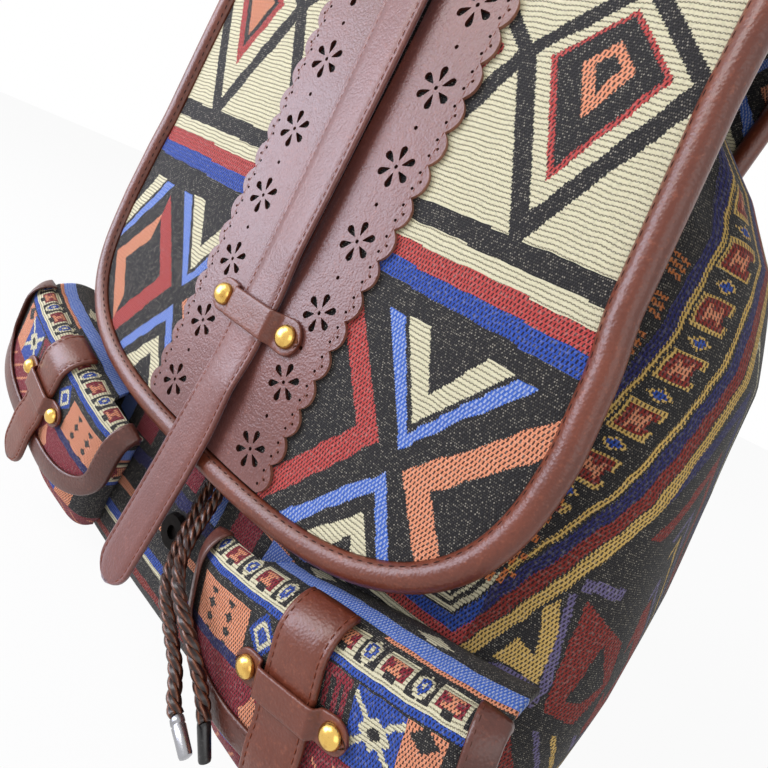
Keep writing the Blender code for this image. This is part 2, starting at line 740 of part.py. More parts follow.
for side, word in ((1, "right"), (-1, "left")):
    low, high = POCKET_LOW, POCKET_HIGH
    shape = [
        (low, POCKET_HALF - 0.009, POCKET_DEPTH - 0.009),
        (low + 0.004, POCKET_HALF - 0.004, POCKET_DEPTH - 0.004),
        (low + 0.014, POCKET_HALF, POCKET_DEPTH),
        (low + 0.026, POCKET_HALF, POCKET_DEPTH),
        (low + 0.038, POCKET_HALF, POCKET_DEPTH),
        (low + 0.050, POCKET_HALF, POCKET_DEPTH),
        (high, POCKET_HALF - 0.001, POCKET_DEPTH - 0.002),
    ]
    rings = [pocket_ring(side, v, half, depth, 0.0) for v, half, depth in shape]
    rings += [pocket_ring(side, v, half, depth, POCKET_WALL) for v, half, depth in shape[:1:-1]]
    rings.append(pocket_ring(side, low + 0.005, POCKET_HALF - 0.004, POCKET_DEPTH - 0.004, POCKET_WALL))
    loft("pocket_" + word, rings, look_of("pocket_" + word, "jacquard"))

    plan = pocket_plan()
    points = [[on_pocket_flap(side, u, p) for u, p in row] for row in plan]
    seam = []
    for u, p in plan[0]:
        first = on_pocket_flap(side, u, p)
        reach = 0.0015 + 0.0200 * ease((u + 0.034) / 0.014)
        level = first[2] + p * 0.2
        at_body = body_face(first[0], level) - GAP - 0.0002
        seam.append((first[0], min(at_body, first[1] + reach), level))
    points.insert(0, seam)
    pocket_flap = sheet("pocket_flap_" + word, points, (0, -1, 0.2), POCKET_FLAP_THICK, look_of("pocket_flap_" + word, "jacquard"))

    edge = [row[0] for row in plan] + plan[-1][1:-1] + [row[-1] for row in plan[::-1]]
    places = [on_pocket_flap(side, u, p) for u, p in edge]
    normals = []
    for u, p in edge:
        step = 0.0005
        a = on_pocket_flap(side, u + step, p) - on_pocket_flap(side, u - step, p)
        b = on_pocket_flap(side, u, p + step) - on_pocket_flap(side, u, p - step)
        normal = np.cross(a, b)
        normals.append(normal if normal @ pocket_flap_normal(side, p) > 0 else -normal)
    frames = edge_frames(places, normals)
    middle = pocket_point(side, 0.0, -0.010, 0.0)
    inward = sum((point - middle) @ out for point, out, _ in frames)
    if inward < 0:
        frames = [(point, -out, normal) for point, out, normal in frames]
    near = SLOT_GAP
    far = -POCKET_FLAP_THICK - SLOT_GAP
    wall = BINDING_WALL
    hem = [
        (-BINDING_WIDTH, near),
        (-BINDING_WIDTH, near + wall),
        (near, near + wall),
        (near + wall, (near + far) / 2),
        (near, far - wall),
        (-BINDING_UNDER, far - wall),
        (-BINDING_UNDER, far),
        (near, far),
        (near, near),
    ]
    edge_strip("pocket_binding_" + word, frames, hem, look_of("pocket_binding_" + word, "dark_leather"))

    place = lambda s, p, lift, side=side: on_pocket_flap(side, s, p, lift)
    pocket_strap_lift = GAP + GAP + STRAP_THICK
    strap_bottom = POCKET_FLAP_TOP - POCKET_STRAP_END - flap_shoulder + flap_shoulder * pi / 2
    hem_lift = pocket_strap_lift + BINDING_WALL + GAP
    stations = [*shoulder_stations[1:], 0.028, 0.040, pocket_front_length - 0.013, pocket_front_length - 0.009, pocket_front_length + 0.004, strap_bottom - 0.008, strap_bottom - 0.003, strap_bottom]
    lifts = [pocket_strap_lift] * 6 + [hem_lift + 0.0004]
    widths = [STRAP_HALF] * 9 + [STRAP_HALF * 0.8, STRAP_HALF * 0.35]
    sheet("pocket_strap_" + word, strap_rows(stations, lifts, widths, place), (0, -1, 0.2), STRAP_THICK, look_of("pocket_strap_" + word, "leather"))

    level = POCKET_FLAP_TOP - POCKET_KEEPER_LEVEL - flap_shoulder + flap_shoulder * pi / 2
    low_lift = GAP + KEEPER_THICK
    high_lift = pocket_strap_lift + GAP + GAP + KEEPER_THICK
    tab = sheet("pocket_keeper_" + word, keeper_rows(level, POCKET_RIVET_SPREAD, low_lift + GAP, high_lift, STRAP_HALF + 0.0006, place), (0, -1, 0.2), KEEPER_THICK, look_of("pocket_keeper_" + word, "leather"))
    for end, tag in ((1, "outer"), (-1, "inner")):
        seat = on_pocket_flap(side, end * POCKET_RIVET_SPREAD, level)
        axis = (0.0, -1.0, 0.0)
        turned("pocket_rivet_" + word + "_" + tag, rivet_profile(low_lift + GAP + GAP, -POCKET_FLAP_THICK - GAP), seat, axis, look_of("pocket_rivet_" + word + "_" + tag, "gold"))
        drill(tab, seat, axis, RIVET_HOLE, 0.005)
        drill(pocket_flap, seat, axis, RIVET_HOLE, 0.005)

# Drawstring: eyelets in the gathered mouth, and the two tails with their tips

for side, word in ((1, "right"), (-1, "left")):
    z = 0.246
    seat = np.array([side * 0.014, body_face(0.014, z) - GAP - 0.0008, z])
    tilt = unit((0.0, -1.0, 0.28))
    ring = [(EYELET_HOLE, EYELET_THICK), (EYELET_RADIUS * 0.8, EYELET_THICK * 1.2), (EYELET_RADIUS, 0.0), (EYELET_HOLE, 0.0), (EYELET_HOLE, EYELET_THICK)]
    turned("eyelet_" + word, ring, seat, tilt, look_of("eyelet_" + word, "antique"), 16)

rope_right = [(0.0140, -0.0530, 0.2465), (0.0141, -0.0566, 0.2425), (0.0142, -0.0580, 0.2360), (0.0145, -0.0591, 0.2280), (0.0150, -0.0640, 0.1750), (0.0150, -0.0703, 0.1150), (0.0148, -0.0700, 0.0950), (0.0150, -0.0716, 0.0850), (0.0165, -0.0752, 0.0775), (0.0280, -0.0910, 0.0680), (0.0380, -0.0975, 0.0625), (0.0480, -0.0990, 0.0575), (0.0600, -0.0990, 0.0500), (0.0680, -0.0985, 0.0420), (0.0712, -0.0985, 0.0378)]
rope_left = [(-0.0140, -0.0530, 0.2465), (-0.0139, -0.0566, 0.2425), (-0.0136, -0.0580, 0.2360), (-0.0125, -0.0591, 0.2280), (-0.0020, -0.0645, 0.1750), (0.0060, -0.0703, 0.1150), (0.0085, -0.0700, 0.0950), (0.0088, -0.0716, 0.0850), (0.0105, -0.0755, 0.0755), (0.0230, -0.0900, 0.0620), (0.0330, -0.0970, 0.0560), (0.0420, -0.0990, 0.0510), (0.0540, -0.1010, 0.0440), (0.0620, -0.1045, 0.0395), (0.0660, -0.1055, 0.0383)]
for word, knots, tip_word, tip_look in (("right", rope_right, "cord_tip_black", "black"), ("left", rope_left, "cord_tip_silver", "steel")):
    path = smooth_path(knots, 0.0085)
    tube("drawstring_" + word, path, ROPE_RADIUS, look_of("drawstring_" + word, "rope"))
    along = unit(path[-1] - path[-2])
    start = path[-1] + along * GAP
    turned(tip_word, [(0.0, 0.0), (0.0022, 0.0), (0.0020, -0.0120), (0.0, -0.0120)], start, -along, look_of(tip_word, tip_look), 10)

# Back: yoke, handle, padded straps, webbing, adjusters and tabs

tail_y = flap_path(flap_end)[0]
yoke_y = tail_y + GAP * 2
yoke_outline = [(-YOKE_HALF, YOKE_LOW), (YOKE_HALF, YOKE_LOW), (YOKE_HALF * 0.92, YOKE_HIGH), (-YOKE_HALF * 0.92, YOKE_HIGH)]
yoke = plate("back_yoke", yoke_outline, [], YOKE_THICK, None)
for vert in yoke.verts:
    vert.co = (vert.co.x, yoke_y + YOKE_THICK - vert.co.z, vert.co.y)
finish("back_yoke", yoke, look_of("back_yoke", "leather"))

handle_y = yoke_y + YOKE_THICK + HANDLE_RADIUS + GAP
handle_arch = HANDLE_TOP - HANDLE_RADIUS
handle_knots = [(-HANDLE_HALF, handle_y, 0.246), (-HANDLE_HALF, handle_y, 0.262), (-HANDLE_HALF * 0.98, handle_y + 0.001, 0.290), (-HANDLE_HALF * 0.78, handle_y + 0.002, 0.322), (-HANDLE_HALF * 0.3, handle_y + 0.003, handle_arch), (HANDLE_HALF * 0.3, handle_y + 0.003, handle_arch), (HANDLE_HALF * 0.78, handle_y + 0.002, 0.322), (HANDLE_HALF * 0.98, handle_y + 0.001, 0.290), (HANDLE_HALF, handle_y, 0.262), (HANDLE_HALF, handle_y, 0.246)]
tube("carry_handle", smooth_path(handle_knots, 0.011), HANDLE_RADIUS, look_of("carry_handle", "leather"), 3)


def strap_ring(centre, along, half, thick, across, sides=10):
    wide = unit(np.asarray(across) - along * (along @ np.asarray(across)))
    out = unit(np.cross(wide, along))
    ring = []
    for k in range(sides):
        angle = (k + 0.5) * 2 * pi / sides
        ring.append(centre + wide * half * float(signed_power(cos(angle), 0.6)) + out * thick / 2 * float(signed_power(sin(angle), 0.6)))
    return ring


pad_base = yoke_y + YOKE_THICK + PAD_THICK / 2 + GAP * 2
for side, word in ((1, "right"), (-1, "left")):
    knots = [
        (side * 0.0150, pad_base, 0.2320),
        (side * 0.0152, pad_base + 0.0012, 0.2440),
        (side * 0.0180, pad_base + 0.0110, 0.2580),
        (side * 0.0280, pad_base + 0.0300, 0.2570),
        (side * 0.0430, pad_base + 0.0450, 0.2350),
        (side * 0.0600, pad_base + 0.0510, 0.1900),
        (side * 0.0780, pad_base + 0.0450, 0.1350),
        (side * 0.0920, pad_base + 0.0300, 0.0900),
    ]
    knots = [(x + side * 0.012, y, z) for x, y, z in knots]
    path = smooth_path(knots, 0.0115)
    rings = []
    for i, point in enumerate(path):
        along = unit(path[min(i + 1, len(path) - 1)] - path[max(i - 1, 0)])
        share = i / (len(path) - 1)
        half = PAD_HALF - 0.007 * ease((share - 0.6) / 0.4)
        rings.append(strap_ring(point, along, half, PAD_THICK, (1.0, 0.0, side * 0.12)))
    loft("shoulder_strap_" + word, rings, look_of("shoulder_strap_" + word, "jacquard"))
    along = unit(path[-1] - path[-2])
    top = path[-1] + along * GAP * 2
    foot = np.array([side * 0.1080, 0.0721, 0.0240])
    run = unit(foot - top)
    face = unit(np.cross(run, np.cross((0.0, 1.0, 0.2), run)))
    wide = unit(np.cross(run, face))

    def strip(a, b, half, thick, offset=0.0, shift=0.0):
        corners = []
        for end in (a, b):
            for w, h in ((-1, -1), (1, -1), (1, 1), (-1, 1)):
                corners.append(end + wide * (w * half + shift) + face * (h * thick / 2 + offset))
        return np.array(corners).reshape(2, 4, 3)

    length = np.linalg.norm(foot - top)
    rings = [strip(top + run * length * a, top + run * length * (a + 1e-9), WEB_HALF, WEB_THICK)[0] for a in (0.0, 0.25, 0.5, 0.75, 1.0)]
    seat = path[-1] + along * GAP
    rings[0] = [corner + run * ((seat - corner) @ along / (run @ along)) for corner in rings[0]]
    loft("webbing_" + word, rings, look_of("webbing_" + word, "webbing"))

    middle = top + run * length * 0.5
    bar = SLIDER_BAR
    off = WEB_THICK / 2 + 0.0004 + bar
    rail = WEB_HALF + 0.0006 + bar
    reach = SLIDER_PITCH + bar * 1.3
    pieces = []
    for sign in (-1, 1):
        pieces.append(strip(middle - run * reach, middle + run * reach, bar, off * 2 + bar * 1.2, 0.0, sign * rail))
    for place_at, lift in ((-SLIDER_PITCH, off), (0.0, -off), (SLIDER_PITCH, off)):
        at = middle + run * place_at
        pieces.append(strip(at - run * bar * 1.2, at + run * bar * 1.2, rail, bar * 2, lift))
    slider = loft("slider_" + word, pieces[0], look_of("slider_" + word, "antique"))
    for face_item in slider.data.polygons:
        face_item.use_smooth = False
    for index, rings in enumerate(pieces[1:]):
        bm = placed_grid(np.asarray(rings, float), True)
        bmesh.ops.holes_fill(bm, edges=[edge for edge in bm.edges if edge.is_boundary], sides=0)
        helper = finish("slider_" + word + "_bar" + str(index), bm, None, cutters)
        helper.hide_render = True
        helper.display_type = "WIRE"
        join = slider.modifiers.new("bar", "BOOLEAN")
        join.operation = "UNION"
        join.solver = "EXACT"
        join.object = helper

    tab_rings = []
    for drop, half in ((0.0, WEB_HALF + 0.003), (0.009, WEB_HALF + 0.002), (0.015, WEB_HALF * 0.7)):
        tab_rings.append(strip(foot + run * (GAP * 2 + drop), foot, half, 0.0032)[0])
    loft("anchor_tab_" + word, tab_rings, look_of("anchor_tab_" + word, "leather"))
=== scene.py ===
import json
from math import asin, cos, pi, radians, sin, sqrt

import bmesh
import bpy
import numpy as np
from mathutils import Matrix, Vector
from mathutils.geometry import delaunay_2d_cdt

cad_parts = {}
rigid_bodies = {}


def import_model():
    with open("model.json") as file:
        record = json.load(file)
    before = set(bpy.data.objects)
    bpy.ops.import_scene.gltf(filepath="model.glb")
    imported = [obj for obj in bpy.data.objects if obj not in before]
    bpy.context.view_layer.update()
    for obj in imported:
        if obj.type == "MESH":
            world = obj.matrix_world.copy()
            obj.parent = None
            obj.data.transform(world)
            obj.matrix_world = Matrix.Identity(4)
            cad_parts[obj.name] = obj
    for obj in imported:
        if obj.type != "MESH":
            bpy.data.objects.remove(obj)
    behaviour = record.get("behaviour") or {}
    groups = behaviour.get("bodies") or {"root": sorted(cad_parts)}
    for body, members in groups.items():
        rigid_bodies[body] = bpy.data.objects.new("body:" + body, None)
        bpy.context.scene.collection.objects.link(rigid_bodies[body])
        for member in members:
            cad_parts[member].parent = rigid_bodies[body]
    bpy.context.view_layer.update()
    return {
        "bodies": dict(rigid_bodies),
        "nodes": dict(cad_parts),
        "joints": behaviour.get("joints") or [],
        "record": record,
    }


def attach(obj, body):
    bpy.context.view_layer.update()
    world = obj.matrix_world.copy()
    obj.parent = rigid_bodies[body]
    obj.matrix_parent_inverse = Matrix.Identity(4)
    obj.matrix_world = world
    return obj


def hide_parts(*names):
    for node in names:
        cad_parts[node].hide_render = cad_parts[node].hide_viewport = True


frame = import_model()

mm = 0.001
sides = ((1, "right"), (-1, "left"))

# small geometry helpers
def unit(vector):
    vector = np.asarray(vector, float)
    return vector / np.linalg.norm(vector)


def ease(value):
    value = np.clip(value, 0.0, 1.0)
    return value * value * (3 - 2 * value)


def signedPower(value, power):
    return np.sign(value) * np.abs(value) ** power


def smoothPath(knots, spacing):  # even points on a Catmull-Rom curve
    knots = np.asarray(knots, float)
    ends = np.vstack([2 * knots[0] - knots[1], knots, 2 * knots[-1] - knots[-2]])
    fine = []
    for i in range(len(knots) - 1):
        a, b, c, d = ends[i:i + 4]
        for step in np.linspace(0, 1, 24, endpoint=False):
            line = 2 * b + (c - a) * step + (2 * a - 5 * b + 4 * c - d) * step**2
            fine.append(0.5 * (line + (3 * b - a - 3 * c + d) * step**3))
    fine.append(knots[-1])
    return evenly(np.array(fine), spacing)


def lengths(points):  # how far along the line each of its points is
    return np.concatenate([[0], np.cumsum(np.linalg.norm(np.diff(points, axis=0), axis=1))])


def evenly(points, spacing):  # the same line with even spacing
    points = np.asarray(points, float)
    run = lengths(points)
    where = np.linspace(0, run[-1], max(2, int(round(run[-1] / spacing)) + 1))
    return np.stack([np.interp(where, run, column) for column in points.T], axis=1)


def smoothed(values, times):  # each value drawn towards its neighbours, with the ends kept
    values = values.copy()
    for _ in range(times):
        values[1:-1] = values[1:-1] * 0.5 + (values[:-2] + values[2:]) * 0.25
    return values


def makeMesh(name, verts, faces, material, body="bag", uvs=None):
    data = bpy.data.meshes.new(name)
    data.from_pydata([tuple(v) for v in verts], [], faces)
    if uvs is not None:  # one pair for each vertex
        layer = data.uv_layers.new(name="cut")
        corner = np.empty(len(data.loops), np.int32)
        data.loops.foreach_get("vertex_index", corner)
        layer.data.foreach_set("uv", np.asarray(uvs, np.float32)[corner].ravel())
    data.materials.append(material)
    data.polygons.foreach_set("use_smooth", [True] * len(data.polygons))
    item = bpy.data.objects.new(name, data)
    bpy.context.scene.collection.objects.link(item)
    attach(item, body)
    return item


def gridFaces(rows, columns, wrap=False):
    faces = []
    across = columns if wrap else columns - 1
    for i in range(rows - 1):
        for j in range(across):
            k = (j + 1) % columns
            faces.append((i * columns + j, i * columns + k, (i + 1) * columns + k, (i + 1) * columns + j))
    return faces


def facesOut(item):  # every face of a closed mesh looks outwards
    bm = bmesh.new()
    bm.from_mesh(item.data)
    bmesh.ops.recalc_face_normals(bm, faces=bm.faces)
    if bm.calc_volume(signed=True) < 0:
        bmesh.ops.reverse_faces(bm, faces=bm.faces)
    bm.to_mesh(item.data)
    bm.free()
    return item


def clothSheet(name, points, uvs, facing, thick, material, body="bag"):
    points = np.asarray(points, float)
    rows, columns = points.shape[:2]
    uvs = np.asarray(uvs, float).reshape(-1, 2)
    item = makeMesh(name, points.reshape(-1, 3), gridFaces(rows, columns), material, body, uvs)
    if sum(face.normal.dot(Vector(facing)) * face.area for face in item.data.polygons) < 0:
        item.data.flip_normals()
    shell = item.modifiers.new("thickness", "SOLIDIFY")
    shell.thickness = thick
    shell.offset = -1.0
    shell.use_even_offset = True
    return item


def loftBody(name, rings, material, body="bag", uvs=None):
    rings = np.asarray(rings, float)
    rows, columns = rings.shape[:2]
    faces = gridFaces(rows, columns, True)
    faces += [tuple(range(columns))[::-1], tuple(range((rows - 1) * columns, rows * columns))]
    if uvs is None:  # one more column than the ring, where it meets itself
        along = lengths(rings.mean(axis=1))
        around = lengths(np.vstack([rings[0], rings[0][:1]]))
        uvs = np.stack(np.meshgrid(around, along), axis=-1) / mm
    uvs = np.asarray(uvs, float)
    if uvs.shape[1] == columns:
        uvs = np.concatenate([uvs, uvs[:, :1]], axis=1)
    item = makeMesh(name, rings.reshape(-1, 3), faces, material, body)
    corners = []
    for i in range(rows - 1):
        for j in range(columns):
            corners += [uvs[i, j], uvs[i, j + 1], uvs[i + 1, j + 1], uvs[i + 1, j]]
    corners += list(uvs[0, :columns])[::-1] + list(uvs[-1, :columns])
    item.data.uv_layers.new(name="cut").data.foreach_set("uv", np.asarray(corners, np.float32).ravel())
    return facesOut(item)


def carriedFrames(path, first):  # tangents, and sides carried along without twist
    path = np.asarray(path, float)
    tangents = [unit(path[min(i + 1, len(path) - 1)] - path[max(i - 1, 0)]) for i in range(len(path))]
    side = unit(np.cross(tangents[0], first))
    frames = []
    for tangent in tangents:
        side = unit(side - tangent * (side @ tangent))
        frames.append((tangent, side, np.cross(side, tangent)))
    return frames


def roundTube(name, path, radius, material, body="bag", sides=12, first=(0, 0, 1)):
    rings = []
    for point, (_, side, up) in zip(path, carriedFrames(path, first)):
        angles = np.arange(sides) * 2 * pi / sides
        rings.append([point + side * radius * cos(a) + up * radius * sin(a) for a in angles])
    return loftBody(name, rings, material, body)


stitchSizes = {  # the length of a stitch, the gap to the next and half the thread's width, in millimetres
    "piping": (2.2, 1.4, 0.25),
    "lace": (2.0, 0.7, 0.17),
    "strap": (2.1, 0.9, 0.20),
    "pocketEdge": (2.0, 1.0, 0.18),
    "pocketStrap": (2.0, 0.9, 0.19),
    "back": (2.4, 1.1, 0.24),
    "handle": (2.4, 1.2, 0.24),
}


def stitchRow(name, places, normals, material, kind, body="bag"):
    # a row of short sunken threads along the line through places
    length, gap, radius = (value * mm for value in stitchSizes[kind])
    places = np.asarray(places, float)
    normals = np.asarray(normals, float)
    run = lengths(places)
    verts, faces = [], []
    start = gap
    profile = [(-1.0, 0.35), (-0.7, 0.85), (0.0, 1.0), (0.7, 0.85), (1.0, 0.35)]
    while start + length < run[-1]:
        middle = start + length / 2
        a, at, b = (
            np.array([np.interp(where, run, column) for column in places.T])
            for where in (start, middle, start + length)
        )
        up = unit([np.interp(middle, run, column) for column in normals.T])
        along = unit(b - a)
        side = unit(np.cross(along, up))
        base = len(verts)
        for share, size in profile:
            centre = at + along * share * length / 2 - up * radius * 0.55 * share * share
            for k in range(6):
                angle = k * pi / 3
                verts.append(centre + side * radius * size * cos(angle) + up * radius * size * 0.8 * sin(angle))
        for i in range(len(profile) - 1):
            for k in range(6):
                n = (k + 1) % 6
                faces.append((base + i * 6 + k, base + i * 6 + n, base + (i + 1) * 6 + n, base + (i + 1) * 6 + k))
        faces.append(tuple(base + k for k in range(6))[::-1])
        faces.append(tuple(base + (len(profile) - 1) * 6 + k for k in range(6)))
        start += length + gap
    return makeMesh(name, verts, faces, material, body)


def dome(name, profile, centre, axis, material, body="bag", steps=40):
    axis = unit(axis)
    side = unit(np.cross(axis, (0.3, 0.2, 0.9)))
    other = np.cross(axis, side)
    centre = np.asarray(centre, float)
    rings = []
    for radius, height in profile:
        around = np.arange(steps)[:, None] * 2 * pi / steps
        spoke = side * np.cos(around) + other * np.sin(around)
        rings.append(centre + axis * height + spoke * max(radius, 1e-6))
    item = loftBody(name, rings, material, body)
    item.data.set_sharp_from_angle(angle=radians(50))
    return item


# the weave's sums, written as shader nodes
class Reading:  # a value in a node tree, with plain arithmetic
    def __init__(self, tree, socket):
        self.tree = tree
        self.socket = socket

    def calc(self, operation, *others):
        node = self.tree.nodes.new("ShaderNodeMath")
        node.operation = operation
        for slot, value in zip(node.inputs, (self, *others)):
            if isinstance(value, Reading):
                self.tree.links.new(value.socket, slot)
            else:
                slot.default_value = value
        return Reading(self.tree, node.outputs[0])

    def __add__(self, other):
        return self.calc("ADD", other)

    def __sub__(self, other):
        return self.calc("SUBTRACT", other)

    def __mul__(self, other):
        return self.calc("MULTIPLY", other)

    def __truediv__(self, other):
        return self.calc("DIVIDE", other)

    def __neg__(self):
        return self.calc("MULTIPLY", -1.0)

    def __abs__(self):
        return self.calc("ABSOLUTE")

    def below(self, edge):
        return self.calc("LESS_THAN", edge)

    def above(self, edge):
        return self.calc("GREATER_THAN", edge)

    def within(self, low, high):
        return self.above(low) * self.below(high)

    def least(self, other):
        return self.calc("MINIMUM", other)

    def most(self, other):
        return self.calc("MAXIMUM", other)

    def snapped(self, pitch):
        return self.calc("SNAP", pitch) + pitch / 2

    def repeat(self, size):  # 0 to size, again and again
        return self.calc("WRAP", 0.0, size)

    def wave(self, size):  # -1 to 1 and back in one size
        return (self * (2 * pi / size)).calc("SINE")

    def flipped(self):
        return self.calc("SUBTRACT", 1.0) * -1.0


class Dye:  # a material whose nodes are laid out by the piece that uses it
    def __init__(self, name):
        self.material = bpy.data.materials.new(name)
        self.material.use_nodes = True
        self.tree = self.material.node_tree
        self.shader = self.tree.nodes["Principled BSDF"]

    def node(self, kind, **settings):
        made = self.tree.nodes.new(kind)
        for key, value in settings.items():
            setattr(made, key, value)
        return made

    def cut(self):  # the two lengths of the cut, in millimetres
        layer = self.node("ShaderNodeUVMap", uv_map="cut")
        split = self.node("ShaderNodeSeparateXYZ")
        self.tree.links.new(layer.outputs[0], split.inputs[0])
        return Reading(self.tree, split.outputs[0]), Reading(self.tree, split.outputs[1])

    def place(self):
        return self.node("ShaderNodeTexCoord").outputs["Object"]

    def vector(self, x, y, z=0.0):
        join = self.node("ShaderNodeCombineXYZ")
        for slot, value in zip(join.inputs, (x, y, z)):
            if isinstance(value, Reading):
                self.tree.links.new(value.socket, slot)
            else:
                slot.default_value = value
        return join.outputs[0]

    def noise(self, where, scale, detail=2.0, rough=0.5):
        made = self.node("ShaderNodeTexNoise")
        made.inputs["Scale"].default_value = scale
        made.inputs["Detail"].default_value = detail
        made.inputs["Roughness"].default_value = rough
        self.tree.links.new(where, made.inputs["Vector"])
        return Reading(self.tree, made.outputs["Fac"])

    def speck(self, where):  # a different even number for each cell
        made = self.node("ShaderNodeTexWhiteNoise", noise_dimensions="2D")
        self.tree.links.new(where, made.inputs["Vector"])
        return Reading(self.tree, made.outputs["Value"])

    def cells(self, where, scale, feature="F1", output="Distance"):
        made = self.node("ShaderNodeTexVoronoi", feature=feature)
        made.inputs["Scale"].default_value = scale
        self.tree.links.new(where, made.inputs["Vector"])
        return Reading(self.tree, made.outputs[output])

    def bands(self, value, edges, low=0.0, high=1.0):  # flat colours from each edge up
        place = (value - low) / (high - low)
        ramp = self.node("ShaderNodeValToRGB")
        ramp.color_ramp.interpolation = "CONSTANT"
        elements = ramp.color_ramp.elements
        while len(elements) > 1:
            elements.remove(elements[-1])
        for i, (edge, color) in enumerate(edges):
            at = min(1.0, max(0.0, (edge - low) / (high - low)))
            element = elements[0] if i == 0 else elements.new(at)
            element.position = at
            element.color = (*color, 1.0)
        self.tree.links.new(place.socket, ramp.inputs[0])
        return ramp.outputs[0]

    def mix(self, share, first, second, blend="MIX"):
        made = self.node("ShaderNodeMix", data_type="RGBA", blend_type=blend)
        for slot, value in ((0, share), (6, first), (7, second)):
            if isinstance(value, Reading):
                self.tree.links.new(value.socket, made.inputs[slot])
            elif isinstance(value, bpy.types.NodeSocket):
                self.tree.links.new(value, made.inputs[slot])
            elif slot == 0:
                made.inputs[slot].default_value = value
            else:
                made.inputs[slot].default_value = (*value, 1.0)
        return made.outputs[2]

    def bump(self, height, depth, strength=1.0, under=None):
        made = self.node("ShaderNodeBump")
        made.inputs["Strength"].default_value = strength
        made.inputs["Distance"].default_value = depth
        self.tree.links.new(height.socket, made.inputs["Height"])
        if under is not None:
            self.tree.links.new(under, made.inputs["Normal"])
        return made.outputs[0]

    def over(self, color, *layers):  # each tint laid where its mask is 1
        for mask, tint in layers:
            color = self.mix(mask, color, tint)
        return color

    def finish(self, color=None, roughness=None, normal=None, **fixed):
        for name, value in (("Base Color", color), ("Roughness", roughness), ("Normal", normal)):
            if value is None:
                continue
            socket = value.socket if isinstance(value, Reading) else value
            if isinstance(socket, bpy.types.NodeSocket):
                self.tree.links.new(socket, self.shader.inputs[name])
            else:
                self.shader.inputs[name].default_value = (*value, 1.0) if name == "Base Color" else value
        for name, value in fixed.items():
            self.shader.inputs[name.replace("_", " ")].default_value = value
        return self.material


def ink(red, green, blue):  # a colour as a photo editor shows it
    shares = [value / 255 for value in (red, green, blue)]
    return tuple(v / 12.92 if v < 0.04045 else ((v + 0.055) / 1.055) ** 2.4 for v in shares)


# camera, floor and lights
cameraSetup = {
    "place": (0.15219, -0.21268, 0.19440),
    "right": (0.70601, 0.57513, 0.41325),
    "up": (-0.47374, -0.05021, 0.87923),
    "back": (0.52642, -0.81652, 0.23701),
    "lens": 25.97,
    "sensor": 36.0,
}
cameraData = bpy.data.cameras.new("view")
cameraData.lens = cameraSetup["lens"]
cameraData.sensor_width = cameraSetup["sensor"]
cameraData.sensor_fit = "HORIZONTAL"
cameraData.clip_start = 0.01
camera = bpy.data.objects.new("view", cameraData)
bpy.context.scene.collection.objects.link(camera)
turn = Matrix([cameraSetup["right"], cameraSetup["up"], cameraSetup["back"]]).transposed().to_4x4()
camera.matrix_world = Matrix.Translation(cameraSetup["place"]) @ turn
bpy.context.scene.camera = camera
bpy.context.scene.view_settings.view_transform = "Standard"

studio = {
    "floorColor": (0.90, 0.90, 0.90),
    "floorGlow": 0.935,
    "worldLevel": 0.33,
    "keyPlace": (-0.9, -1.3, 1.5),
    "keyPower": 18.5,
    "keySize": 1.0,
    "keyColor": (1, 1, 1),
    "fillPlace": (1.5, -0.9, 0.7),
    "fillPower": 6.0,
    "fillSize": 1.2,
    "fillColor": (1, 1, 1),
    "windowPlace": (-0.80, -0.80, 0.34),  # its reflection gives the leather its pale sheen
    "windowPower": 11.0,
    "windowSize": 0.66,
    "windowColor": (0.80, 0.84, 1.0),
}


def whiteForCamera(tree):  # 1 for rays that should see white
    path = tree.nodes.new("ShaderNodeLightPath")
    total = Reading(tree, path.outputs["Is Camera Ray"]) + Reading(tree, path.outputs["Is Glossy Ray"])
    return (total + Reading(tree, path.outputs["Is Transmission Ray"])).least(1.0)


world = bpy.data.worlds.new("studio")
bpy.context.scene.world = world
world.use_nodes = True
air = world.node_tree
plain = air.nodes["Background"]
plain.inputs["Color"].default_value = (1, 1, 1, 1)
plain.inputs["Strength"].default_value = studio["worldLevel"]
white = air.nodes.new("ShaderNodeBackground")
white.inputs["Color"].default_value = (1, 1, 1, 1)
white.inputs["Strength"].default_value = 1.0
join = air.nodes.new("ShaderNodeMixShader")
air.links.new(whiteForCamera(air).socket, join.inputs[0])
air.links.new(plain.outputs[0], join.inputs[1])
air.links.new(white.outputs[0], join.inputs[2])
air.links.new(join.outputs[0], air.nodes["World Output"].inputs["Surface"])

floorDye = Dye("floor_white")
floorDye.finish(color=studio["floorColor"], roughness=0.9, Specular_IOR_Level=0.1)
glow = floorDye.node("ShaderNodeEmission")
glow.inputs["Strength"].default_value = 1.0
blendIn = floorDye.node("ShaderNodeMixShader")
floorDye.tree.links.new((whiteForCamera(floorDye.tree) * studio["floorGlow"]).socket, blendIn.inputs[0])
floorDye.tree.links.new(floorDye.shader.outputs[0], blendIn.inputs[1])
floorDye.tree.links.new(glow.outputs[0], blendIn.inputs[2])
floorDye.tree.links.new(blendIn.outputs[0], floorDye.tree.nodes["Material Output"].inputs["Surface"])
floorMesh = bpy.data.meshes.new("floor")
floorMesh.from_pydata([(-4, -4, 0), (4, -4, 0), (4, 4, 0), (-4, 4, 0)], [], [(0, 1, 2, 3)])
floorMesh.materials.append(floorDye.material)
floor = bpy.data.objects.new("floor", floorMesh)
bpy.context.scene.collection.objects.link(floor)


def softLamp(name, place, power, size, color):
    data = bpy.data.lights.new(name, "AREA")
    data.energy = power
    data.size = size
    data.color = color
    lamp = bpy.data.objects.new(name, data)
    bpy.context.scene.collection.objects.link(lamp)
    lamp.location = place
    lamp.rotation_euler = (Vector(place) - Vector((0, 0, 0.15))).to_track_quat("Z", "Y").to_euler()


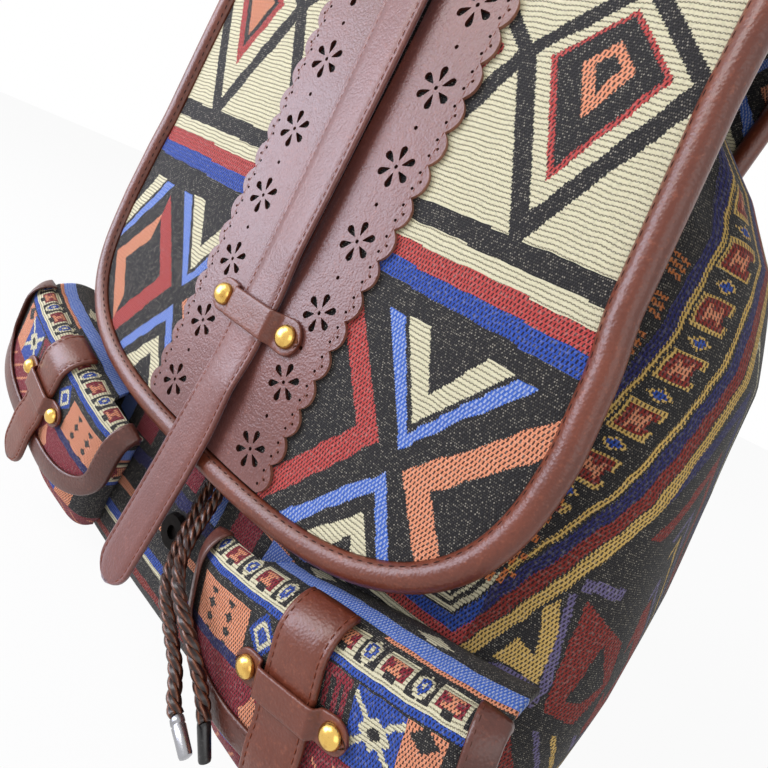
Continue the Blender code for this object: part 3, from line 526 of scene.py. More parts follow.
for lamp in ("key", "fill", "window"):
    softLamp(lamp, studio[lamp + "Place"], studio[lamp + "Power"], studio[lamp + "Size"], studio[lamp + "Color"])
print("camera, floor and lights are set")

# what the pieces are made of
leatherLook = {
    "face": ink(120, 58, 37),
    "dark": ink(94, 43, 28),
    "rubbed": ink(154, 86, 60),
    "grain": 1250.0,
    "gloss": 0.34,
    "shine": 0.5,
    "relief": 0.20 * mm,
    "bloom": 0.0,  # a pale bluish sheen
}


def leather(name, **changes):
    look = {**leatherLook, **changes}
    dye = Dye(name)
    place = dye.place()
    cloudy = dye.noise(place, 30.0, 3.0, 0.5)
    fine = dye.noise(place, 640.0, 3.0, 0.6)
    wrinkle = dye.noise(place, 240.0, 2.0, 0.5)
    grain = dye.cells(place, look["grain"], "SMOOTH_F1")
    color = dye.mix((cloudy - 0.3) * 1.6, look["dark"], look["face"])
    color = dye.mix(((fine - 0.56) * 2.4).most(0.0), color, look["rubbed"])
    color = dye.mix(((grain - 0.42) * 1.8).most(0.0), color, look["dark"])
    height = grain.flipped() * 0.8 + fine * 0.5 + wrinkle * 0.9
    normal = dye.bump(height, look["relief"], 0.7)
    rough = (fine * 0.16 + cloudy * 0.12) + (look["gloss"] - 0.12)
    return dye.finish(
        color, rough, normal, Specular_IOR_Level=look["shine"], Coat_Weight=look["shine"] * 0.2, Coat_Roughness=0.3,
        Sheen_Weight=look["bloom"], Sheen_Roughness=0.5, Sheen_Tint=(0.74, 0.80, 1.0, 1.0),
    )


brownLeather = leather("brown_leather")
pipingLeather = leather("piping_leather", face=ink(122, 58, 36), dark=ink(92, 42, 27), gloss=0.33)
strapLeather = leather(
    "strap_leather", face=ink(124, 66, 52), dark=ink(104, 52, 40), rubbed=ink(156, 98, 82), gloss=0.34, bloom=0.36,
)
darkLeather = leather("dark_leather", face=ink(100, 52, 40), dark=ink(76, 38, 30), rubbed=ink(140, 82, 64), gloss=0.33)
edgeLeather = leather("edge_leather", face=ink(84, 44, 34), dark=ink(60, 32, 26), gloss=0.66, shine=0.12)


def metal(name, color, dull, roughness):
    dye = Dye(name)
    place = dye.place()
    wear = dye.noise(place, 260.0, 4.0, 0.6)
    scratch = dye.noise(place, 2400.0, 2.0)
    tint = dye.mix(((wear - 0.5) * 3.0).most(0.0), color, dull)
    rough = wear * 0.16 + (roughness - 0.06)
    return dye.finish(tint, rough, dye.bump(scratch, 0.03 * mm, 0.5), Metallic=1.0)


gold = metal("gold_metal", ink(232, 190, 104), ink(176, 126, 60), 0.22)
brass = metal("antique_brass", ink(150, 122, 80), ink(92, 72, 46), 0.36)
darkBrass = metal("dark_brass", ink(30, 26, 24), ink(17, 15, 15), 0.62)
steel = metal("silver_tip", ink(168, 168, 172), ink(112, 112, 118), 0.26)


def threadDye(name, color, dark):
    dye = Dye(name)
    place = dye.place()
    ply = dye.noise(place, 1800.0, 2.0)
    tint = dye.mix(ply, dark, color)
    return dye.finish(tint, 0.75, dye.bump(ply, 0.1 * mm, 0.8), Specular_IOR_Level=0.25)


darkThread = threadDye("dark_thread", ink(92, 52, 38), ink(48, 28, 22))
pipingThread = threadDye("piping_thread", ink(66, 30, 20), ink(36, 18, 14))
redThread = threadDye("red_thread", ink(150, 78, 52), ink(86, 42, 30))


def ropeDye():
    dye = Dye("rope")
    around, along = dye.cut()
    ply = (along * 0.24 + around).wave(1.9) * 0.5 + 0.5
    fray = dye.noise(dye.place(), 1500.0, 3.0, 0.7)
    # darker where the ply wave is low: painted shade in the ply grooves, varied by the fray noise
    color = dye.mix((ply * 0.9 + fray * 0.4) - 0.25, ink(26, 12, 9), ink(98, 52, 33))
    # the pale ink on the ply crowns is a painted highlight
    color = dye.mix(((fray * 0.5 + ply * 0.6 - 0.76) * 2.8).most(0.0), color, ink(186, 122, 88))
    return dye.finish(color, 0.30, dye.bump(ply * 0.9 + fray * 0.15, 0.22 * mm, 0.9), Specular_IOR_Level=0.5)


ropeYarn = ropeDye()


def tipDye():
    dye = Dye("black_tip")
    place = dye.place()
    wear = dye.noise(place, 700.0, 3.0)
    color = dye.mix(((wear - 0.58) * 4.0).most(0.0), ink(22, 21, 22), ink(84, 80, 80))
    return dye.finish(color, wear * 0.2 + 0.22, dye.bump(wear, 0.05 * mm, 0.6), Coat_Weight=0.2, Coat_Roughness=0.2)


blackTip = tipDye()
print("leathers, metals and threads are mixed")

# the drawstring's two tails, laid as the solid ones are
cordSetup = {
    "radius": 2.3 * mm,
    "strandRadius": 1.36 * mm,
    "strandOut": 1.10 * mm,
    "twist": 12.5 * mm,
    "tipLength": 12.0 * mm,
    "tipGap": 0.3 * mm,
    "rim": 10,  # points round a strand
    "plies": 4,
    "plyWidth": 1.9,
}
rightTail = [
    (0.0140, -0.0530, 0.2465), (0.0141, -0.0566, 0.2425), (0.0142, -0.0580, 0.2360), (0.0145, -0.0591, 0.2280),
    (0.0150, -0.0640, 0.1750), (0.0150, -0.0703, 0.1150), (0.0148, -0.0700, 0.0950), (0.0150, -0.0716, 0.0850),
    (0.0165, -0.0752, 0.0775), (0.0280, -0.0910, 0.0680), (0.0380, -0.0975, 0.0625), (0.0480, -0.0990, 0.0575),
    (0.0600, -0.0990, 0.0500), (0.0680, -0.0985, 0.0420), (0.0712, -0.0985, 0.0378),
]
leftTail = [
    (-0.0140, -0.0530, 0.2465), (-0.0139, -0.0566, 0.2425), (-0.0136, -0.0580, 0.2360), (-0.0125, -0.0591, 0.2280),
    (-0.0020, -0.0645, 0.1750), (0.0060, -0.0703, 0.1150), (0.0085, -0.0700, 0.0950), (0.0088, -0.0716, 0.0850),
    (0.0105, -0.0755, 0.0755), (0.0230, -0.0900, 0.0620), (0.0330, -0.0970, 0.0560), (0.0420, -0.0990, 0.0510),
    (0.0540, -0.1010, 0.0440), (0.0620, -0.1045, 0.0395), (0.0660, -0.1055, 0.0383),
]


def ropeMesh(name, path, phase):
    verts, faces, uvs = [], [], []
    run = lengths(path)
    frames = carriedFrames(path, (0, 1, 0))
    rim = cordSetup["rim"]
    for strand in range(3):
        centres = []
        for point, (_, side, up), length in zip(path, frames, run):
            angle = phase + strand * 2 * pi / 3 + length / cordSetup["twist"] * 2 * pi
            centres.append(point + (side * cos(angle) + up * sin(angle)) * cordSetup["strandOut"])
        first = len(verts)
        for centre, (_, side, up), length in zip(centres, carriedFrames(centres, (0, 1, 0)), run):
            for k in range(rim):
                angle = k * 2 * pi / rim
                verts.append(centre + (side * cos(angle) + up * sin(angle)) * cordSetup["strandRadius"])
                uvs.append((k / rim * cordSetup["plies"] * cordSetup["plyWidth"], length / mm))
        faces += [tuple(first + k for k in face) for face in gridFaces(len(path), rim, True)]
        last = first + (len(path) - 1) * rim
        faces += [tuple(range(first, first + rim))[::-1], tuple(range(last, last + rim))]
    return facesOut(makeMesh(name, verts, faces, ropeYarn, "bag", uvs))


tails = (("right", rightTail, 0.4, "black", blackTip), ("left", leftTail, 1.3, "silver", steel))
for word, knots, phase, tipWord, tipMaterial in tails:
    path = smoothPath(knots, 0.9 * mm)
    tail = ropeMesh("rope_" + word, path, phase)
    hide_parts("drawstring_" + word)
    along = unit(path[-1] - path[-4])
    start = path[-1] + along * cordSetup["tipGap"]
    length = cordSetup["tipLength"]
    profile = [(0.0006, -0.0002), (0.0017, -0.0002), (0.00212, 0.0003), (0.0022, 0.0012)]
    if tipWord == "silver":
        profile += [(0.0022, 0.0020), (0.00196, 0.0023), (0.00196, 0.0026), (0.0022, 0.0029)]
    profile += [(0.0021, length * 0.6), (0.00205, length - 0.0010), (0.00186, length - 0.0003)]
    profile += [(0.0012, length), (0.0, length)]
    tip = dome("tip_" + tipWord, profile, start, along, tipMaterial, steps=24)
    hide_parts("cord_tip_" + tipWord)
    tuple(knots[0])
    float(lengths(path)[-1])
print("drawstring is laid")

# the flap's surface, which every piece on it follows
flapShape = {
    "lean": radians(6.0),
    "thick": 2.2 * mm,
    "rowZ": 0.1080,
    "rowY": -0.0770,
    "half": 0.1190,
    "cornerT": 0.0550,
    "drop": 0.0720,
    "square": 2.9,
    "frontLength": 0.1830,
    "crownRadius": 0.0420,
    "crownEnd": radians(95.0),
    "roof": 0.0680,
    "backRadius": 0.0200,
    "tail": 0.0360,
    "pipingRadius": 4.7 * mm,
    "pipingOut": 1.0 * mm,
    "slack": 0.9 * mm,
}
crownLength = flapShape["crownRadius"] * (flapShape["crownEnd"] - flapShape["lean"])
turnStart = flapShape["frontLength"] + crownLength + flapShape["roof"]
turnLength = flapShape["backRadius"] * (pi - flapShape["crownEnd"])
tailStart = turnStart + turnLength
flapEnd = tailStart + flapShape["tail"]
laceTop = turnStart - 0.004
edgeReach = flapShape["half"] - flapShape["pipingOut"]
edgeDrop = flapShape["drop"] - flapShape["pipingOut"]


def flapTable():  # y, z and lean for every half millimetre of the flap's length
    rows = []
    for t in np.arange(-0.1, flapEnd + 0.002, 0.0005):
        y, z, lean = flapShape["rowY"], flapShape["rowZ"], flapShape["lean"]
        legs = [
            (flapShape["frontLength"], 0.0),
            (crownLength, flapShape["crownRadius"]),
            (flapShape["roof"], 0.0),
            (turnLength, flapShape["backRadius"]),
            (1.0, 0.0),
        ]
        left = t
        for length, radius in legs:
            part = min(left, length)
            if radius:
                bend = part / radius
                y += radius * (cos(lean) - cos(lean + bend))
                z += radius * (sin(lean + bend) - sin(lean))
                lean += bend
            else:
                y += part * sin(lean)
                z += part * cos(lean)
            left -= part
            if left <= 0:
                break
        rows.append((t, y, z, lean))
    return np.array(rows)


flapRows = flapTable()


def flapLean(t):
    return np.interp(t, flapRows[:, 0], flapRows[:, 3])


def flapNormal(t):
    lean = flapLean(np.asarray(t, float))
    return np.stack([np.zeros_like(lean), -np.cos(lean), np.sin(lean)], axis=-1)


def flapSlack(s, t):  # the soft waves that the cloth has and all that lies on it shares
    fade = ease(np.asarray(t) / 0.05) * ease((flapEnd - 0.06 - t) / 0.05)
    wave = np.sin(s * 31 + t * 17 + 0.6) * 0.5 + np.sin(s * 12 - t * 38 + 2.0) * 0.5
    return flapShape["slack"] * (wave * fade - 0.35 * fade)


def onFlap(s, t, lift=0.0):
    s, t, lift = np.broadcast_arrays(np.asarray(s, float), np.asarray(t, float), np.asarray(lift, float))
    y = np.interp(t, flapRows[:, 0], flapRows[:, 1])
    z = np.interp(t, flapRows[:, 0], flapRows[:, 2])
    side = np.maximum(0.0, np.abs(s) - 0.070)
    out = lift - 1.2 * side * side + flapSlack(s, t)
    return np.stack([s, y, z], axis=-1) + flapNormal(t) * out[..., None]


def flapHalf(t):  # half the flap's width, which narrows upwards and behind
    steps = [flapShape["cornerT"], 0.079, 0.094, 0.150, 0.220, flapEnd]
    return np.interp(t, steps, [flapShape["half"], 0.1160, 0.1125, 0.1060, 0.1020, 0.0860])


def cornerPoint(angle):  # angle 0 is the lowest point of the flap's edge, and a right angle its side
    s = signedPower(np.sin(angle), 2 / flapShape["square"]) * edgeReach
    fall = np.abs(np.cos(angle)) ** (2 / flapShape["square"]) * edgeDrop
    return np.stack([s, flapShape["cornerT"] - fall], axis=-1)


def edgeLevel(s):  # how high the flap's lower edge is at s
    share = np.minimum(1.0, np.abs(s) / edgeReach)
    return flapShape["cornerT"] - edgeDrop * (1 - share ** flapShape["square"]) ** (1 / flapShape["square"])


def spannedRows(start, end, right):  # rows from one curve to another, with right and its mirror image at their ends
    u = np.linspace(0, 1, len(start))[:, None]
    rows = []
    for i, rim in enumerate(right):
        v = i / (len(right) - 1)
        row = (1 - v) * start + v * end + (1 - u) * rim * [-1, 1] + u * rim
        for share, line in ((1 - v, start), (v, end)):
            row = row - (1 - u) * share * line[0] - u * share * line[-1]
        rows.append(row)
    return rows


def flapPlan(columns, cornerRows, step):  # rows of (s, t) from the lower edge to the back
    bottom = cornerPoint(np.linspace(-pi / 4, pi / 4, columns + 1))
    right = cornerPoint(np.linspace(pi / 4, pi / 2, cornerRows + 1))
    top = np.stack([np.linspace(-1, 1, columns + 1) * edgeReach, np.full(columns + 1, flapShape["cornerT"])], axis=-1)
    rows = spannedRows(bottom, top, right)
    count = int((flapEnd - flapShape["cornerT"]) / step)
    for t in np.linspace(flapShape["cornerT"], flapEnd, count + 1)[1:]:
        half = flapHalf(t) - flapShape["pipingOut"]
        rows.append(np.stack([np.linspace(-half, half, columns + 1), np.full(columns + 1, t)], axis=-1))
    return np.array(rows)


# woven cloth
threadSetup = {
    "stepAcross": 0.56,  # how finely the pattern's edges step, in millimetres
    "stepAlong": 0.72,
    "dashAcross": 1.26,
    "dashAlong": 1.50,
    "ribPitch": 1.5,
    "warpShows": 0.92,
    "whiteShows": 0.55,  # pale threads in the light blue
    "relief": 0.34 * mm,
}
black = ink(23, 21, 23)
cream = ink(222, 214, 180)
red = ink(190, 70, 66)
blue = ink(42, 78, 170)
lightBlue = ink(62, 104, 194)
peach = ink(232, 150, 112)
crimson = ink(140, 36, 50)
navy = ink(38, 38, 96)
darkRed = ink(140, 44, 36)
yellow = ink(222, 184, 104)
lavender = ink(112, 102, 142)


def softStep(value, edge, width):  # 1 where the value is under the edge, with a soft border
    return (((value * -1.0) + edge) / width + 0.5).most(0.0).least(1.0)


def wovenFinish(dye, s, t, color, coarse=1.0):
    # dark warp shows between the coloured threads, row by row
    across, along = threadSetup["dashAcross"] * coarse, threadSetup["dashAlong"] * coarse
    row = (t / along).calc("FLOOR")
    shift = row.calc("PINGPONG", 1.0) * (across / 2)
    u = (s + shift).repeat(across) / across - 0.5
    v = t.repeat(along) / along - 0.5
    dash = softStep(abs(u - v * 0.16), 0.20, 0.10) * softStep(abs(v), 0.40, 0.10)
    fineAcross, fineAlong = across / 2, along / 2
    fineRow = (t / fineAlong).calc("FLOOR")
    fineShift = fineRow.calc("PINGPONG", 1.0) * (fineAcross / 2)
    speck = dye.speck(dye.vector(((s + fineShift) / fineAcross).calc("FLOOR"), fineRow))
    du = abs((s + fineShift).repeat(fineAcross) / fineAcross - 0.5)
    dv = abs(t.repeat(fineAlong) / fineAlong - 0.5)
    dot = softStep(du + dv, 0.40, 0.24)
    cloud = dye.noise(dye.vector(s, t), 0.9, 2.0)
    split = dye.node("ShaderNodeSeparateColor", mode="HSV")
    dye.tree.links.new(color, split.inputs[0])
    hue, full, bright = (Reading(dye.tree, split.outputs[k]) for k in range(3))
    ground = bright.below(0.06)
    creamy = bright.above(0.5) * full.below(0.55)
    paleBlue = bright.above(0.47) * full.above(0.6) * hue.above(0.5)
    colored = (ground + creamy + paleBlue).least(1.0).flipped()
    pitch = threadSetup["ribPitch"] * coarse
    waved = t + (s * 0.62).calc("SINE") * 0.10
    ribRow = (waved / pitch).calc("FLOOR")
    rib = abs(waved.repeat(pitch) / pitch - 0.5)
    ribLine = softStep(rib * -1.0, -0.34, 0.12)
    gapPitch = 1.2 * coarse
    broken = softStep(abs((s + ribRow.calc("PINGPONG", 1.0) * 0.6).repeat(gapPitch) / gapPitch - 0.5), 0.33, 0.14)
    color = dye.over(
        color,
        (dash * colored * threadSetup["warpShows"], ink(24, 16, 18)),
        (dash * paleBlue * threadSetup["whiteShows"], ink(214, 220, 226)),
        (ribLine * creamy * (broken * 0.62 + 0.22), ink(74, 64, 42)),
        (dot * ground * speck.calc("POWER", 4.0) * 0.75, ink(190, 182, 166)),
        (dot * ground * 0.08, ink(120, 116, 116)),
        (((cloud - 0.5) * 0.5).most(0.0) * ground.flipped(), ink(250, 246, 232)),
        (((cloud * -1.0 + 0.5) * 0.7).most(0.0) * ground.flipped(), ink(30, 22, 24)),
    )
    threads = (dot * 0.55 + dash * -0.6 * creamy.flipped()) - rib * creamy * 1.6
    normal = dye.bump(threads + cloud * 0.3, threadSetup["relief"] * coarse, 0.85)
    rough = speck * 0.14 + 0.68
    return dye.finish(color, rough, normal, Specular_IOR_Level=0.3, Sheen_Weight=0.05, Sheen_Roughness=0.45)


def steppedCut(dye):  # the cut, slightly wavering, and the same stepped thread by thread
    s, t = dye.cut()
    waver = (dye.noise(dye.vector(s, t), 0.13, 1.0) - 0.5) * 1.5
    soft, tall = s + waver, t - waver
    return soft, t - waver * 0.6, soft.snapped(threadSetup["stepAcross"]), tall.snapped(threadSetup["stepAlong"])


flapPattern = {  # each list gives a colour from each edge up, in millimetres
    "diamondRight": [(0, black), (7, peach), (14.5, black), (29, red), (33, cream), (42, black), (54, cream)],
    "diamondLeft": [(0, peach), (14.5, black), (20, red), (27, cream), (42, black), (54, cream)],
    "diamondLevel": 152.0,
    "diamondWidth": 52.0,
    "stripes": [(0, black), (76.5, blue), (83.3, red), (89.8, cream), (95.8, black)],
    "stripesFrom": 70.4,
    "diamondsFrom": 103.1,
    "mirrorAt": 178.0,
    "hidden": 37.0,  # half the width that the bands cover
}


def flapCloth():
    dye = Dye("flap_cloth")
    s, t, sq, full = steppedCut(dye)
    tq = full.least(full * -1.0 + 2 * flapPattern["mirrorAt"])  # past the crown the pattern turns back on itself
    right = sq.above(0.0)
    # upper field: nested diamonds
    width, level = flapPattern["diamondWidth"], flapPattern["diamondLevel"]
    ds = abs((sq - right * 156.0 + 80.0 + width / 2).repeat(width) - width / 2)
    ring = ds * 1.85 + (tq * -1.0 + level).most(0.0) + (tq - level).most(0.0) * 2.1
    upper = dye.mix(
        right, dye.bands(ring, flapPattern["diamondLeft"], 0, 80), dye.bands(ring, flapPattern["diamondRight"], 0, 80),
    )
    # lower field: chevrons on black
    off = sq - (right * 127.0 - 50.0 - sq.below(-86.0) * 64.0)
    wide = abs(off)

    def arrow(tip, level, slope, downSlope, side):  # 1 within a point that looks left or right
        reach = off * -side + tip * side
        return (tq - level - reach * slope).below(0.0) * (tq * -1.0 + level - reach * downSlope).below(0.0)

    slope = wide * 1.25 + off.above(0.0) * wide * 0.2
    lower = dye.over(
        black,
        ((tq - wide * 1.42).above(40.5) * (tq - wide * 1.65).below(50.5) * tq.below(68.5), cream),
        ((tq - wide * 1.3).above(32.0) * (tq - wide * 1.45).below(37.5) * tq.below(68.0), lightBlue),
        (arrow(-7.0, 30.0, 1.13, 1.4, 1.0) * arrow(-17.0, 30.0, 1.13, 1.4, 1.0).flipped(), red),
        (arrow(4.7, 27.0, 1.16, 1.16, -1.0) * arrow(15.5, 27.0, 1.16, 1.16, -1.0).flipped(), peach),
        ((tq + slope).within(16.7, 24.0), lightBlue),
        ((tq + wide * 1.2).below(9.0) * (tq + wide * 1.5).above(0.8), cream),
    )
    # level stripes between the two
    fallen = tq + sq * 0.018
    color = dye.over(
        lower,
        (fallen.above(flapPattern["stripesFrom"]), dye.bands(fallen, flapPattern["stripes"], 0, 110)),
        (fallen.above(flapPattern["diamondsFrom"]), upper),
        (abs(s).below(flapPattern["hidden"]), black),
    )
    return wovenFinish(dye, s, t, color)


flapFabric = flapCloth()


bodyPattern = {  # each list gives a colour from each edge up, in millimetres
    "frameFront": [
        (0, cream), (2.4, black), (3.0, red), (6.7, blue), (10.5, black), (11.2, cream), (12.8, black),
        (14.5, cream), (15.5, black), (28.0, yellow), (30.0, navy), (34.0, black),
    ],
    # the front's stripes again, darker and yellower: painted shade on the side that lies in shadow
    "frameSideShaded": [
        (0, yellow), (3.6, black), (4.2, darkRed), (8.2, navy), (12.0, black), (12.6, yellow), (14.4, black),
        (29.0, yellow), (30.4, navy), (34.0, black),
    ],
    "diamonds": [
        (0, black), (11, darkRed), (24, black), (27, lavender), (30, black), (41, yellow), (44, black), (50, lavender),
        (53, black), (64, darkRed), (72, black), (84, navy), (92, black), (104, cream), (107, black),
    ],
    "belt": [
        (0, black), (14, darkRed), (18, black), (26, cream), (28, blue), (33, black), (44, peach), (48, black),
        (60, navy), (66, black), (80.5, peach), (82, black), (83.5, lightBlue), (86.5, black), (87.5, cream), (89, black),
    ],
    "beltTop": 91.5,
    "frontHalf": 118.0,
    "motifPitch": 17.0,
    "motifLine": 21.8,
    "orange": ink(214, 124, 66),
    "fretwork": ink(196, 116, 62),
}
cornerShapes = (  # below the frame at the front corner: corners from the middle and up, running anticlockwise
    (darkRed, (142.0, 127.8), (147.8, 91.2), (159.8, 89.0), (166.0, 104.0), (161.8, 118.0)),
    (black, (154.5, 117.0), (152.2, 96.2), (158.2, 96.2), (163.0, 104.0)),
    (lavender, (120.5, 91.8), (145.0, 89.8), (144.0, 97.2), (130.8, 98.2)),
    (lavender, (145.0, 89.8), (146.4, 99.0), (138.5, 128.8), (136.0, 126.8), (143.0, 99.0)),
    (yellow, (127.8, 98.8), (142.8, 98.0), (137.8, 105.5), (131.0, 108.0)),
    (yellow, (142.8, 98.0), (140.0, 115.2), (135.8, 124.5), (133.0, 120.0), (137.8, 105.5)),
    (lavender, (138.8, 133.2), (138.8, 129.6), (151.0, 130.8), (151.0, 134.5)),
)


def bodyCloth():
    dye = Dye("body_cloth")
    a, z, aq, zq = steppedCut(dye)
    side = abs(aq)
    lift = zq - bodyPattern["beltTop"]
    back = ((zq - 95.0) * 0.40 + 121.0 - side) * 0.93
    q = lift.least(back)
    front = side.below(bodyPattern["frontHalf"])
    past = q + front.flipped() * 1.2
    # past frontHalf the frame takes the darker side copy of its stripes, which is painted shade
    outer, inner = dye.bands(past, bodyPattern["frameSideShaded"], 0, 64), dye.bands(q, bodyPattern["frameFront"], 0, 64)
    frame = dye.mix(front, outer, inner)
    # stepped motifs and ovals run along the band between the two lines
    run = (back - lift).above(0.0) * (side * -1.0) + (back - lift).below(0.0) * zq
    pitch = bodyPattern["motifPitch"]
    place = abs(run.repeat(pitch) - pitch / 2)
    deep = q - bodyPattern["motifLine"]
    big = (place * 0.95).most(abs(deep) * 0.9)
    near = abs(place - pitch / 2) * 1.5 + abs(deep) * 0.9
    # the motif outline is cream on the front and yellow on the side, where the yellow is cream in painted shade
    outline = dye.mix(front, yellow, cream)
    motifs = dye.over(
        black, (big.below(4.7), outline), (big.below(3.7), darkRed),
        (place.below(2.6) * abs(deep).within(1.2, 2.3), peach), (big.below(1.1), peach),
        (place.below(1.5) * deep.below(-3.0), black), (near.below(3.4), outline), (near.below(2.2), blue),
    )
    # fretwork high on the side
    hook = abs((zq + side * 0.35).repeat(13.0) - 6.5)
    hook = hook.within(2.0, 3.4).most(hook.below(0.9)) * q.above(34.0) * zq.below(226.0)
    frame = dye.over(frame, (q.within(16.2, 27.4), motifs), (hook, bodyPattern["fretwork"]))
    # wide diamonds under the frame, along the side and back
    rhomb = abs((side - 204.0).repeat(68.0) - 34.0) * 1.45 + abs(zq - 107.0)
    outside = dye.bands(rhomb, bodyPattern["diamonds"], 0, 130)

    def inside(corners):
        mask = None
        for (x0, y0), (x1, y1) in zip(corners, corners[1:] + corners[:1]):
            half = ((side - x0) * (y0 - y1) + (zq - y0) * (x1 - x0)).above(0.0)
            mask = half if mask is None else mask * half
        return mask

    corner = dye.over(black, *((inside(corners), tint) for tint, *corners in cornerShapes))
    outside = dye.mix(side.below(167.0) * zq.within(84.0, 150.0), outside, corner)
    # the low front, seen between the flap and the pockets
    block = (aq + 13.0).repeat(38.0)
    belt = dye.over(
        dye.bands(zq + side * 0.02, bodyPattern["belt"], 0, 110),
        (zq.within(70.0, 80.0) * block.below(14.0), crimson),
        (zq.within(66.0, 81.0) * block.within(20.0, 31.0), lightBlue),
    )
    stair = (zq.repeat(6.4).below(3.2) * 2.4 + 115.6 - side) * -1.0
    fret = stair.within(0.0, 1.6).most(stair.within(2.6, 4.0) * zq.repeat(3.2).above(1.2))
    color = dye.over(
        outside, (side.below(116.0) * zq.below(bodyPattern["beltTop"]), belt), (past.above(0.0), frame),
        (fret * zq.within(118.0, 196.0), bodyPattern["orange"]),
    )
    return wovenFinish(dye, a, z, color, 0.92)


bodyFabric = bodyCloth()


pocketPattern = {
    "motifPitch": 17.0,
    "motifLevel": 9.0,
    "foldFrom": 14.4,  # above this it is the body's own cloth, behind the seam
    "housesTo": -22.0,
    "leaf": (-13.5, -33.0),
    "gem": (-16.0, -7.0),
    "star": (28.0, -10.0),
}


def pocketCloth():
    dye = Dye("pocket_cloth")
    u, v, uq, vq = steppedCut(dye)
    # upper band: stepped motifs and ovals in turn
    pitch, foot = pocketPattern["motifPitch"], pocketPattern["housesTo"]
    place = abs((uq - 27.0 + pitch / 2).repeat(pitch) - pitch / 2)
    level = vq - pocketPattern["motifLevel"]
    size = (place * 0.95).most(abs(level))
    oval = (abs(place - pitch / 2) * 1.5).calc("POWER", 2.0) + (level * 0.80).calc("POWER", 2.0)
    gap = abs((uq - 6.0).repeat(44.0) - 22.0) * 0.5 + abs(vq - 25.6)
    color = dye.over(
        black, (size.below(4.6), cream), (size.below(3.5), crimson),
        (place.below(2.4) * abs(level).within(1.2, 2.2), peach), (size.below(0.9), peach),
        (place.below(1.6) * level.below(-2.8), black),
        (oval.below(12.5), cream), (oval.below(5.4), blue), (oval.below(0.7), cream),
        # above foldFrom the cloth is black; the strip from foldFrom up to the peach line (up to the light blue where
        # there is no peach) is painted shade in the crease at the fold
        (vq.above(pocketPattern["foldFrom"]), black), (vq.within(15.4, 16.4) * uq.above(18.0), peach),
        (vq.within(16.8, 22.6), lightBlue), (gap.below(3.0) * vq.above(22.6), cream),
        (vq.within(3.0, 4.2), cream), (vq.within(0.5, 3.0), blue),
    )
    # houses of colour below it
    (gemX, gemY), (starX, starY), (leafX, leafY) = (pocketPattern[key] for key in ("gem", "star", "leaf"))
    tri = abs((uq + 47.0).repeat(10.0) - 5.0) + abs((vq + 16.9).repeat(4.8) - 2.4) * 1.1
    gem = abs(uq - gemX) * 1.2 + abs(vq - gemY)
    comb = uq.within(9.5, 18.5) * vq.within(-12.0, 0.0)
    house = uq.within(20.0, 36.0) * vq.within(foot, 0.0)
    star = abs(uq - starX) + abs(vq - starY)
    cross = abs(abs(uq - starX) - abs(vq - starY)).below(1.2) * star.below(17.0)
    block = uq.within(36.0, 47.0) * vq.within(foot, 0.0)
    color = dye.over(
        color, (uq.within(-50.0, -23.0) * vq.within(-19.0, -2.0), peach),
        (tri.below(2.0) * uq.within(-47.0, -27.0) * vq.within(-18.5, -4.6), black),
        (gem.below(7.4), blue), (gem.within(3.0, 5.2), cream),
        (comb, crimson), (comb * uq.repeat(3.0).below(1.2) * vq.below(-3.0), black),
        (house, blue), (house * cross, cream), (house * star.below(5.4), cream), (house * star.below(2.6), black),
        (block, peach), (block * (abs(uq - 41.5) * 0.8 + abs(vq + 3.0)).below(3.6), black),
        (vq.within(foot, -19.0) * uq.below(20.0), navy), (vq.below(foot), crimson),
    )
    leaf = (abs(uq - leafX) * 1.3 + abs(vq - leafY) * 0.8).below(6.4)
    ray = (uq * 0.9 + vq).repeat(9.0).below(1.4) * uq.above(12.0)
    color = dye.over(color, (leaf * vq.below(-24.0), peach), (ray * vq.below(-25.0), peach))
    return wovenFinish(dye, u, v, color, 0.8)


pocketFabric = pocketCloth()


bandPattern = {  # a colour from each edge up, in millimetres
    "diamonds": [
        (0, peach), (3.5, black), (6, crimson), (9, black), (11, cream), (13, black), (17, blue), (20, black),
        (22, cream), (23.2, black),
    ],
    "pitch": 34.0,
}


def bandCloth():  # the shoulder straps' narrow pattern
    dye = Dye("strap_cloth")
    u, v, uq, vq = steppedCut(dye)
    place = vq.repeat(bandPattern["pitch"]) - bandPattern["pitch"] / 2
    color = dye.bands(abs(uq) * 1.3 + abs(place), bandPattern["diamonds"], 0, 48)
    color = dye.over(color, (abs(uq).within(16.5, 18.6), red), (abs(uq).within(19.4, 20.2), cream))
    return wovenFinish(dye, u, v, color, 0.9)


strapFabric = bandCloth()


def webbingDye():
    dye = Dye("webbing")
    u, v = dye.cut()
    slant = abs(u - v.calc("PINGPONG", 1.6)).repeat(1.1) / 1.1
    thread = dye.speck(dye.vector((u / 0.55).calc("FLOOR"), (v / 0.7).calc("FLOOR")))
    color = dye.mix(thread * 0.6 + slant * 0.3, ink(44, 26, 22), ink(92, 58, 46))
    return dye.finish(color, 0.78, dye.bump(slant + thread * 0.4, 0.22 * mm, 0.8), Sheen_Weight=0.2, Sheen_Roughness=0.5)


webbingYarn = webbingDye()
print("cloths are woven")

